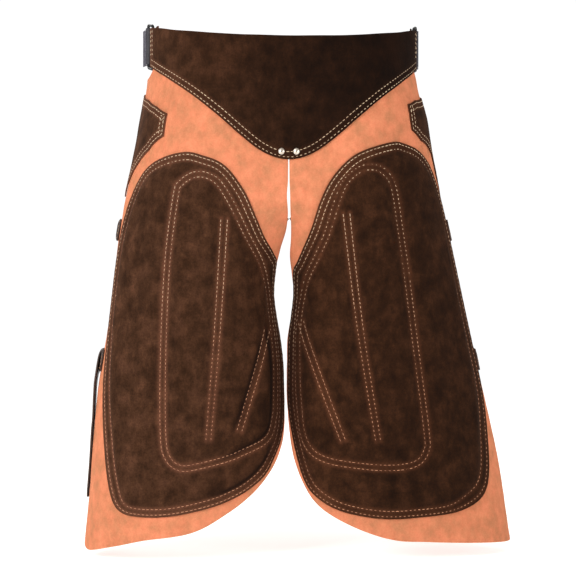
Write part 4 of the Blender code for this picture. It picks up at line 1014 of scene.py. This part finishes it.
def groove(places, rows, reach=1.5):
    """How deep the thread pulls the leather down, from 0 to 1, and the puckers beside it."""
    depth = np.zeros(len(places))
    pucker = np.zeros(len(places))
    for k, row in enumerate(rows):
        away, walked = nearest(places, row)
        hole = 0.8 + 0.2 * np.cos(2 * np.pi * walked / STITCH_PITCH)
        depth = np.maximum(depth, np.exp(-(away / reach) ** 2) * hole)
        wave = np.sin(2 * np.pi * walked / (13 + 3 * math.sin(k)) + 2.2 * np.sin(walked / 31 + k))
        near = np.exp(-away / 6.0) * (1 - np.exp(-(away / 2.5) ** 2))
        pucker += near * wave
    return depth, pucker


def quilting(side, outline, rows):
    """Height of the pad's face above the panel, as a function of places on the flat."""
    loop = closed_loop(outline)
    seams = [smooth_line(ARCH_SEAM[side], 6.0)] + [smooth_line(line, 6.0) for line in SHORT_SEAMS[side]]

    def face(places):
        edge = nearest(places, loop)[0] - PAD_MARGIN * seam_allowance(places)
        near = np.min([nearest(places, seam)[0] for seam in seams], axis=0) - SEAM_HALF
        t = np.clip(np.minimum(edge, near) / RISE_REACH, 0, 1)
        swell = np.sin(t * math.pi / 2)
        depth, pucker = groove(places, rows)
        height = LAY_GAP + PAD_WALL + PAD_RISE * swell - GROOVE_DEPTH * depth + PUCKER_HEIGHT * pucker
        height += swell * slack(places, PAD_SLACK)
        for line, width, fall in PAD_CREASES[side]:
            away = nearest(places, smooth_line(line, 8.0))[0]
            height -= fall * np.exp(-(away / width) ** 2) * np.clip(0.3 + t, 0, 1)
        return np.maximum(height, LAY_GAP + 0.8)

    return face


def crease_shade_mark(side, places):
    """How much painted shade a place gets in one of the sharp creases, from 0 to 1."""
    strength = np.zeros(len(places))
    for line, width, fall in PAD_CREASES[side]:
        if fall > SHARP_CREASE:
            line = smooth_line(line, 4.0)
            away, walked = nearest(places, line)
            fade = np.clip(np.minimum(walked, walked_along(line)[-1] - walked) / CREASE_FADE, 0, 1)
            strength = np.maximum(strength, CREASE_SHADE_STRENGTH * np.exp(-(away / width) ** 2) * fade)
    return strength


# %% Make the pads
pads = {}
for side, word in WORDS.items():
    outline = anticlockwise(smooth_line(PAD_EDGE[side], 5.0, closed=True))
    rows = pad_rows(side, outline)
    face = quilting(side, outline, rows)
    pads[side] = leather_sheet(
        f"knee_pad_quilt_{word}", outline, 2.4, on_leg(side), face,
        lambda p: np.full(len(p), LAY_GAP), brown_suede, seam=lambda p: SEAM_PRESS_AND_SHADE * groove(p, rows, 3.0)[0],
        fold=lambda p: crease_shade_mark(side, p))
    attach(pads[side], "root")
    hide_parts(f"knee_pad_{word}")
    sew(f"knee_pad_thread_{word}", rows, on_leg(side), face)
    print(pads[side].name, len(pads[side].data.polygons), "triangles")

# %% [markdown]
# ## The yoke
#
# The yoke is one dark piece across the hips with a pointed lower edge, sewn over the tops of both
# panels. Each end goes through its waist ring and folds back behind itself, so its surface runs
# forward, round the bar and back again. Its middle is left plain, with only the nap's own patches.

# %% The shared front and its folded ends
RING_BAR = 4.0
FOLD_RADIUS = RING_BAR / 2 + 0.6
RING_LEVEL = -2.0
YOKE_RETURN = 24.0
UPRIGHT_REACH = 34.0
UPRIGHT_HOLD = 12.0
PLY_GAP = 0.4


def front_point(across, height, out):
    """Point on the shared front, whose ends fold back round the waist rings."""
    turn_length = math.pi * FOLD_RADIUS
    side = np.where(across < 0, LEFT, RIGHT)
    walk = np.abs(across)
    past = np.clip(walk - RING_END, 0, None)
    turn = np.clip(past / turn_length, 0, 1) * math.pi
    back = np.clip(past - turn_length, 0, None)
    base = np.minimum(walk, RING_END) - back
    settle = ease(np.clip(back / YOKE_RETURN, 0, 1))
    centre_out = LAY_GAP - FOLD_RADIUS
    radius = out - centre_out
    inward = centre_out - radius
    tucked = 2 * LAY_GAP - PLY_GAP - out
    lift = np.where(past > 0, centre_out + radius * np.cos(turn), out)
    lift = np.where(back > 0, inward + (tucked - inward) * settle, lift)
    near_return = np.clip(1 - np.abs(walk - RING_END + 20) / 34, 0, 1)
    lift = lift + 0.7 * np.sin(near_return * math.pi / 2) ** 2 * np.clip((RING_END - walk) / 8, 0, 1)
    upright = ease(np.clip((walk - RING_END + UPRIGHT_REACH + UPRIGHT_HOLD) / UPRIGHT_REACH, 0, 1))
    result = np.zeros(across.shape + (3,))
    for one in (LEFT, RIGHT):
        chosen = side == one
        if not chosen.any():
            continue
        near = base[chosen]
        tall = height[chosen]
        bar_level = np.full(near.shape, RING_LEVEL)
        free = leg_point(one, near, tall, lift[chosen])
        straight = leg_point(one, near, bar_level, lift[chosen])
        straight[:, 2] = tall
        share = upright[chosen][:, None]
        along = unit(leg_along(one, near, bar_level))
        bulge = radius[chosen] * np.sin(turn[chosen])
        result[chosen] = free * (1 - share) + straight * share + along * bulge[:, None]
    return result


# %% Make the yoke
YOKE_SLACK = ((70, 0.5, 21), (24, 0.16, 22))
YOKE_GROOVE = 0.6
SOFT_PUCKER = 0.15
far = RING_END + math.pi * FOLD_RADIUS + YOKE_RETURN
flat_part = np.arange(0, RING_END, 5.0)
turned_part = np.linspace(RING_END, far, 33)
stations = np.unique(np.concatenate([-turned_part, -flat_part, flat_part, turned_part]))
low_line = np.stack([stations, yoke_edge(stations, "bottom")], -1)
high_line = np.stack([stations, yoke_edge(stations, "top")], -1)[::-1]
ends = [np.stack([np.full(9, x), np.linspace(a, b, 11)[1:-1]], -1)
        for x, a, b in ((far, low_line[-1, 1], high_line[0, 1]), (-far, high_line[-1, 1], low_line[0, 1]))]
yoke_outline = np.vstack([low_line, ends[0], high_line, ends[1]])

sewn = np.arange(-RING_END + 2, RING_END - 1, 4.0)
lower_edge = np.stack([sewn, yoke_edge(sewn, "bottom")], -1)
yoke_rows = [beside(lower_edge, 3.2), beside(lower_edge, 10.2)]
for side in WORDS:
    for distance in (3.0, 10.5):
        heights = np.linspace(yoke_edge(RING_END, "top") - 3, yoke_edge(RING_END, "bottom") + 13, 14)
        yoke_rows.append(np.stack([np.full(14, side * (RING_END - distance)), heights], -1))


def yoke_face(places):
    """Height of the yoke's face above the panels."""
    depth, pucker = groove(places, yoke_rows)
    near_edge = np.clip((places[:, 1] - yoke_edge(places[:, 0], "bottom")) / 40, 0, 1)
    flat = np.abs(places[:, 0]) < RING_END - 14
    loose = slack(places, YOKE_SLACK) * near_edge
    held = np.abs(places[:, 0]) > RING_END
    relief = np.where(held, 0, -YOKE_GROOVE * depth) + np.where(flat, SOFT_PUCKER * pucker + loose, 0.0)
    return LAY_GAP + YOKE_WALL + relief


yoke = leather_sheet("waist_yoke", yoke_outline, 3.0, front_point, yoke_face,
                     lambda p: np.full(len(p), LAY_GAP), yoke_suede,
                     seam=lambda p: SEAM_PRESS_AND_SHADE * groove(p, yoke_rows, 2.4)[0], inner_step=4.0)
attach(yoke, "root")
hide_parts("yoke")
yoke_thread = sew("waist_yoke_thread", yoke_rows, front_point, yoke_face)
print("yoke:", len(yoke.data.polygons), "triangles")

# %% [markdown]
# ## Knife pockets
#
# A hoof knife rides in a flat pocket on each hip. The pocket is a plain patch, double sewn along its
# front and its slanting bottom edge, with a doubled hem at its mouth.

# %% Knife pockets
POCKET_EDGE = {
    LEFT: ((280, -61), (222, -75.5), (195, -86.5), (171, -98), (174, -129), (190, -136), (206, -147),
           (236, -162), (266, -182), (296, -205), (288, -130)),
    RIGHT: ((280, -60), (225, -71), (197, -75.5), (175, -83), (180, -118), (203, -131), (228, -138),
            (254, -151), (272, -170), (294, -205), (288, -130)),
}
POCKET_WALL = 1.8
POCKET_SEWN_TO = 9
POCKET_GROOVE = 0.5
POCKET_SLACK = ((40, 0.25, 31),)
pocket_outlines = {}

for side, word in WORDS.items():
    corners = POCKET_EDGE[side]
    outline = cut_line(corners + corners[:1], 4.0)[:-1]
    turned = anticlockwise(outline)
    last = int(np.argmin(np.linalg.norm(outline - corners[POCKET_SEWN_TO], axis=1)))
    rows = []
    for distance in (3.4, 10.0):
        drawn_in = inset(turned, distance)
        if turned is not outline:
            drawn_in = drawn_in[::-1]
        rows.append(smooth_line(drawn_in[2:last - 2:2], 3.0))

    def pocket_face(places, rows=rows):
        depth, pucker = groove(places, rows)
        relief = SOFT_PUCKER * pucker - POCKET_GROOVE * depth + slack(places, POCKET_SLACK)
        return LAY_GAP + POCKET_WALL + relief

    pocket = leather_sheet(
        f"knife_pocket_patch_{word}", outline, 2.6, on_leg(side), pocket_face,
        lambda p: np.full(len(p), LAY_GAP), brown_suede, seam=lambda p: SEAM_PRESS_AND_SHADE * groove(p, rows, 2.4)[0])
    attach(pocket, "root")
    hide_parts(f"knife_pocket_{word}")
    pocket_outlines[side] = outline
    sew(
        f"knife_pocket_thread_{word}", rows, on_leg(side), pocket_face)

# %% [markdown]
# ## Straps and belt
#
# Each leg strap is sewn inside the panel's inner edge, runs round the back of the leg, goes through a
# slide that hangs from a short tab on the outer edge, and lies back over that tab. The left lower one
# has its free end hanging down. The belt is two lengths of webbing from the waist rings to a slide at
# the back. A strap is a rounded section drawn along its route, with its length and width as UV.

# %% Hardware sizes
RING_INNER = 55.6
RING_REACH = 24.0
RING_RISE = 5.0
RING_CORNER = 4.5
BAR = 3.0
BAR_CORNER = BAR * 0.72
BAR_PITCH = 18.0
BAR_CLEAR = 0.3
THREAD_GAP = 0.6
PLY_SPACE = 0.5
STRAP_WIDTH = 30.0
STRAP_THICK = 2.4
BELT_WIDTH = 50.0
BELT_THICK = 1.6
STRAP_LEVELS = {"upper": -251.0, "lower": -430.0}
TAB_REACH = 22.0
TAB_SEWN = 30.0
ROUTE_STEP = 12.0
STRAP_BACK = 112.0
BELT_BACK = 118.0
HOOK_TURN = [math.radians(degrees) for degrees in range(-90, 91, 30)]
ANCHOR_GAP = 1.3
ANCHOR_LENGTH = 26.0
ANCHOR_INSET = 8.0
ANCHOR_BLEND = 40.0
OVER_TAB = 0.6
TAB_SETTLE = 0.9
STRAP_TIP = 14.0
FREE_END = 30.0
HANG_TURN_FROM = 12.0
HANG_BEND = 20.0
HANGING_END = 198.0
HANG_STEP = 15.5
HANG_SETTLE = 48.0
HANG_SLANT = 0.06
TAB_STITCH_PITCH = 4.4
BEHIND_LEG = (("inner_x", 17, "inner_y", 36), ("inner_x", 25, "inner_y", 88), ("inner_x", 52, "back", -17),
              ("crest_x", 6, "back", 0), ("side_x", -54, "back", -14))


def strap(name, route, outward, width, thick, finish, tip=0.0):
    """Draw a rounded strap section along a route; a tip rounds its far end."""
    path = smooth_line(np.hstack([np.array(route, float), np.array(outward, float) * 4]), 3.0)
    route = path[:, :3]
    run = unit(np.gradient(route, axis=0))
    face = unit(path[:, 3:] - run * (path[:, 3:] * run).sum(axis=1)[:, None])
    across = np.cross(face, run)
    walked = walked_along(route)
    left = walked[-1] - walked
    half = np.full(len(route), width / 2)
    if tip:
        half *= np.where(left < tip, np.sqrt(np.clip(1 - (1 - left / tip) ** 2 * 0.8, 0, 1)), 1.0)
    bend = min(0.7, thick * 0.35)
    section = []
    for wide, deep, start in ((1, 1, 0), (-1, 1, 90), (-1, -1, 180), (1, -1, 270)):
        for turn in (0, 30, 60, 90):
            angle = math.radians(start + turn)
            section.append((wide, bend * (math.cos(angle) - wide),
                            deep * (thick / 2 - bend) + bend * math.sin(angle)))
    points, flat = [], []
    for wide, aside, deep in section:
        points.append(route + across * (wide * half + aside)[:, None] + face * deep)
        flat.append(np.stack([walked, wide * half + aside], -1))
    count = len(section)
    points = np.stack(points, 1).reshape(-1, 3)
    flat = np.stack(flat, 1).reshape(-1, 2)
    here = np.arange(len(route) - 1)[:, None] * count + np.arange(count)
    after = np.arange(len(route) - 1)[:, None] * count + (np.arange(count) + 1) % count
    walls = np.stack([here, after, after + count, here + count], -1).reshape(-1, 4)
    caps = [list(range(count))[::-1], [(len(route) - 1) * count + k for k in range(count)]]
    piece = make_piece(name, points, walls.tolist() + caps, finish, "strap", flat)
    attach(piece, "root")
    print(name, len(piece.data.polygons), "faces")
    return piece


# %% Routes
def hook(bar, along, outward, radius, thick, length, settle):
    """Route of a strap's end: from its inner ply round a bar and out along its outer ply."""
    reach = radius + BAR_CLEAR + thick / 2
    points = [bar - along * length * far + outward * (settle * share - reach)
              for far, share in ((1.0, 1.0), (0.66, 1.0), (0.3, 0.4))]
    points.append(bar - along * radius - outward * reach)
    return points + [bar + reach * (along * math.cos(turn) + outward * math.sin(turn)) for turn in HOOK_TURN]


def hook_directions(along, outward):
    """Outward directions that go with a hook's route."""
    return [-outward] * 4 + [along * math.cos(turn) + outward * math.sin(turn) for turn in HOOK_TURN]


def over_folded_tab(thick):
    """Distance out from a slide's bars to a strap's middle where it lies on the folded tab."""
    return BAR_CORNER + BAR_CLEAR + thick + PLY_SPACE + thick / 2


def threaded(middle, along, outward, thick):
    """Route through a slide: under its far bar, over its middle bar and over the folded tab."""
    level = BAR / 2 + THREAD_GAP + thick / 2
    over = over_folded_tab(thick)
    return [middle + along * u + outward * v for u, v in (
        (BAR_PITCH + 8, -level), (BAR_PITCH + 2, -level), (BAR_PITCH - 3, -level + 0.2), (BAR_PITCH / 2, 0.0),
        (3, level - 0.2), (-3, level + 0.6), (-BAR_PITCH / 2, over - 0.3), (-BAR_PITCH + 3, over),
        (-BAR_PITCH - 4, over))]


def plan_normals(route, centre):
    """Level directions away from a centre, square to the route."""
    route = np.array(route, dtype=float)
    run = np.gradient(route, axis=0)
    normal = unit(np.stack([run[:, 1], -run[:, 0], np.zeros(len(run))], -1))
    return -normal if ((route - centre) * normal).sum(axis=1).mean() < 0 else normal


def side_frame(side, height):
    """Place on the panel's side edge at a height, with its directions along the leather and outward."""
    edge = smooth_line(SIDE_EDGE[side], 4.0)
    across = float(np.interp(-height, -edge[:, 1], edge[:, 0]))
    here = np.array([across])
    level = np.array([height])
    along = unit(leg_along(side, here, level)[0] * (1, 1, 0))
    outward = leg_normal(side, here, level)[0]
    outward -= along * float(np.dot(outward, along))
    return across, leg_form(side, here, level)[0], along, unit(outward)


def beside_edge(side, edge, across, height, out):
    """Point on a leg panel, or straight on from its side edge where it is passed."""
    across = np.asarray(across, float)
    height = np.asarray(height, float)
    held = np.minimum(across, edge)
    at_edge = np.full(held.shape, edge)
    along = unit(leg_along(side, at_edge, height))
    return leg_point(side, held, height, out) + along * (across - held)[..., None]


def hanging_places(across, height, over):
    """Free end that turns down past its tab and hangs against the side of the leg."""
    places = []
    for degrees in range(18, 91, 18):
        angle = math.radians(degrees)
        places.append((across - HANG_BEND * math.sin(angle),
                       height - HANG_BEND * (1 - math.cos(angle)), over))
    last_across, last_height, _ = places[-1]
    settled = LAY_GAP + STRAP_THICK / 2 + BAR_CLEAR
    for drop in np.arange(ROUTE_STEP, HANGING_END - HANG_BEND, HANG_STEP):
        share = min(1.0, (drop - ROUTE_STEP) / HANG_SETTLE)
        places.append((last_across + HANG_SLANT * drop, last_height - drop, over + (settled - over) * share))
    return places


# %% Leg straps and their tabs
for side, side_word in WORDS.items():
    for level_word, height in STRAP_LEVELS.items():
        word = f"{level_word}_{side_word}"
        hanging = word == "lower_left"
        edge, place, along, outward = side_frame(side, height)
        tab_out = LAY_GAP + STRAP_THICK / 2
        heel = place + along * TAB_REACH + outward * (tab_out - BAR_CORNER - BAR_CLEAR - STRAP_THICK / 2)
        middle = heel + along * BAR_PITCH
        tab_line = np.concatenate([np.linspace(edge - TAB_SEWN, edge, 5), [edge + TAB_REACH / 2]])[::-1]
        heights = np.full(len(tab_line), height)
        route = hook(heel, along, outward, BAR_CORNER, STRAP_THICK, TAB_REACH - BAR, TAB_SETTLE)
        route += list(beside_edge(side, edge, tab_line, heights, np.full(len(tab_line), tab_out)))
        facing = hook_directions(along, outward) + list(leg_normal(side, np.minimum(tab_line, edge), heights))
        tab = strap(f"leg_tab_{word}", route, facing, STRAP_WIDTH, STRAP_THICK, strap_leather)
        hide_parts(f"strap_tab_{word}")

        inner = np.array(INNER_EDGE[side])[::-1]
        start = float(np.interp(-height, -inner[:, 1], inner[:, 0])) + ANCHOR_INSET
        anchor = np.linspace(start + ANCHOR_LENGTH, start, 5)
        heights = np.full(len(anchor), height)
        held_out = -PANEL_WALL - ANCHOR_GAP - STRAP_THICK / 2
        held = leg_point(side, anchor, heights, np.full(len(anchor), held_out))
        at = {name: float(column(SECTIONS[side], k, np.array([height]))[0])
              for k, name in enumerate(SECTION_COLUMNS)}
        at["back"] = STRAP_BACK
        behind = [(side * (at[x_from] + aside), at[y_from] + further, height)
                  for x_from, aside, y_from, further in BEHIND_LEG]
        through = threaded(middle, along, outward, STRAP_THICK)
        loop = smooth_line(list(held) + behind + through[:2], ROUTE_STEP)
        facing = plan_normals(loop, np.array([side * at["crest_x"], 0.0, height]))
        share = np.clip(1 - np.linalg.norm(loop - held[-1], axis=1) / ANCHOR_BLEND, 0, 1)[:, None]
        normals = leg_normal(side, anchor, heights)
        facing = facing * (1 - share) + normals[-1] * share
        facing[: len(held)] = normals
        route = list(loop)[:-2] + through[1:]
        facing = list(facing)[:-2] + [outward] * (len(through) - 1)
        over = tab_out + STRAP_THICK + OVER_TAB
        turn_from = edge + (HANG_TURN_FROM if hanging else TAB_REACH - FREE_END)
        free = np.arange(edge + TAB_REACH - ROUTE_STEP + 2, turn_from - 1, -8.0)
        places = [(across, height, over) for across in free]
        if hanging:
            places += hanging_places(float(free[-1]), height, over)
        across, level, out = np.array(places).T
        route += list(beside_edge(side, edge, across, level, out))
        facing += list(leg_normal(side, np.minimum(across, edge), level))
        piece = strap(f"thigh_strap_{word}", route, facing, STRAP_WIDTH, STRAP_THICK, strap_leather,
                      STRAP_TIP)
        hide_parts(f"leg_strap_{word}")

        left, right = edge - TAB_SEWN + 4, edge - 5
        low, high = height - 11, height + 11
        box = [cut_line(((a, b), (c, d)), 3.0) for a, b, c, d in (
            (left, high, right, high), (left, low, right, low), (left, low + 4, left, high - 4))]
        sew(f"tab_thread_{word}", box, on_leg(side), lambda p: np.full(len(p), LAY_GAP + STRAP_THICK),
            TAB_STITCH_PITCH)

# %% Belt and waist rings
RING_HOOK = (30.0, 2.0)
SLIDE_HOOK = (26.0, 1.6)
BELT_BEHIND_RING = 18.0
BELT_OUTSIDE_RING = 1.5
BELT_TURNS = (0, 20, 40, 60, 78)
SLIDE_ASIDE = 20.0
BELT_FREE_END = 70.0
BELT_END_CURL = 0.0012
BELT_TIP = 10.0


def ring_frame(side):
    """Middle of a waist ring's front bar, with its directions along the waist and outward."""
    place = np.array([RING_END])
    height = np.array([RING_LEVEL])
    centre = leg_point(side, place, height, np.array([LAY_GAP - FOLD_RADIUS]))[0]
    along = unit(leg_along(side, place, height)[0] * (1, 1, 0))
    outward = np.array([side * -along[1], side * along[0], 0.0])
    return centre, along, outward if outward[0] * side > 0 else -outward


def make_ring(side, word, sides=20):
    """Rectangular waist ring of round bar."""
    centre, along, _ = ring_frame(side)
    half = RING_INNER / 2 + RING_BAR / 2
    path = []
    for u, v, start in ((RING_REACH, half, 0), (0, half, 90), (0, -half, 180), (RING_REACH, -half, 270)):
        middle_u = u + RING_CORNER * (1 if u == 0 else -1)
        middle_v = v - RING_CORNER * math.copysign(1, v)
        for turn in range(start, start + 91, 15):
            angle = math.radians(turn)
            path.append((middle_u + RING_CORNER * math.cos(angle), middle_v + RING_CORNER * math.sin(angle)))
    path = np.array([centre + along * u + np.array([0, 0, v + RING_RISE * u / RING_REACH]) for u, v in path])
    run = unit(np.roll(path, -1, axis=0) - np.roll(path, 1, axis=0))
    level = np.cross(along, (0, 0, 1))
    aside = np.cross(run, level)
    angle = 2 * math.pi * np.arange(sides) / sides
    points = path[:, None] + RING_BAR / 2 * (
        np.cos(angle)[None, :, None] * aside[:, None] + np.sin(angle)[None, :, None] * level)
    count = len(path)
    faces = [[k * sides + j, k * sides + (j + 1) % sides, (k + 1) % count * sides + (j + 1) % sides,
              (k + 1) % count * sides + j] for k in range(count) for j in range(sides)]
    ring = make_piece(f"waist_ring_{word}", points.reshape(-1, 3), faces, black_steel)
    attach(ring, "root")
    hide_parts(f"ring_{word}")


slide_at = np.array([-SLIDE_ASIDE, BELT_BACK, RING_LEVEL + RING_RISE])
toe = np.array([1.0, 0.0, 0.0])
back = np.array([0.0, 1.0, 0.0])
heel = slide_at - toe * BAR_PITCH
tab = hook(heel, toe, back, BAR_CORNER, BELT_THICK, *SLIDE_HOOK)[::-1]
through = threaded(slide_at, toe, back, BELT_THICK)
over = over_folded_tab(BELT_THICK)
free = [slide_at - toe * (BAR_PITCH + run) + back * (over - BELT_END_CURL * (run - 4) ** 2)
        for run in np.arange(14, BELT_FREE_END, 9.0)]
before_tab = heel - toe * 10 + back * (BAR_CORNER + BAR_CLEAR + BELT_THICK / 2)
belt_ends = {
    LEFT: ([before_tab, tab[0]], 1, tab, hook_directions(toe, back)[::-1]),
    RIGHT: (through[:2], 2, through[1:] + free, [back] * (len(through) - 1 + len(free))),
}
for side, word in WORDS.items():
    make_ring(side, word)
    centre, along, outward = ring_frame(side)
    bar = centre + along * RING_REACH + np.array([0, 0, RING_RISE])
    ring_hook = hook(bar, -along, outward, RING_BAR / 2, BELT_THICK, *RING_HOOK)
    join, dropped, end_route, end_facing = belt_ends[side]
    reach, first = abs(bar[0]) + BELT_OUTSIDE_RING, bar[1] + BELT_BEHIND_RING
    half = [np.array([side * reach * math.cos(turn), first + (BELT_BACK - first) * math.sin(turn), bar[2]])
            for turn in map(math.radians, BELT_TURNS)]
    if side == LEFT:
        half = half[:-1]
    run = smooth_line([ring_hook[-1]] + half + join, ROUTE_STEP)
    facing = list(plan_normals(run, np.array([0.0, 0.0, slide_at[2]])))[1:-dropped]
    belt = strap(f"waist_belt_{word}", ring_hook + list(run)[1:-dropped] + end_route,
                 hook_directions(-along, outward) + facing + end_facing, BELT_WIDTH, BELT_THICK, webbing,
                 BELT_TIP if side == RIGHT else 0)
    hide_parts(f"belt_{word}")

# %% [markdown]
# ## Slides and rivets
#
# The slides and the rivets keep their solids. A small bevel softens the slides' stamped edges, and
# each takes its finish.

# %% Finishes on the kept solids
for name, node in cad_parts.items():
    if name.startswith(("strap_slide", "belt_slide")):
        node.data.materials[0] = black_steel
        edge = node.modifiers.new("stamped_edge", "BEVEL")
        edge.width = 0.5 * MM
        edge.segments = 3
        edge.limit_method = "ANGLE"
    elif name.startswith("rivet"):
        node.data.materials[0] = nickel

# %% [markdown]
# ## The cut of the sheets
#
# The panels, the yoke and the pockets are single sheets. The width, length and area of the flat
# leather each was cut from are printed.

def cut_size(outline):
    """Width, length and area of a cut, in metres."""
    after = np.roll(outline, -1, axis=0)
    area = abs((outline[:, 0] * after[:, 1] - outline[:, 1] * after[:, 0]).sum()) / 2
    spread = (outline.max(axis=0) - outline.min(axis=0)) * MM
    print("cut", spread.round(3), "m,", round(area * MM * MM, 4), "m2")
    return tuple(float(v) for v in spread), float(area * MM * MM)


for side, word in WORDS.items():
    flat, area = cut_size(panel_outline(side))
    flat, area = cut_size(pocket_outlines[side])
flat, area = cut_size(yoke_outline)
print("sheets declared:", 2 * len(WORDS) + 1)
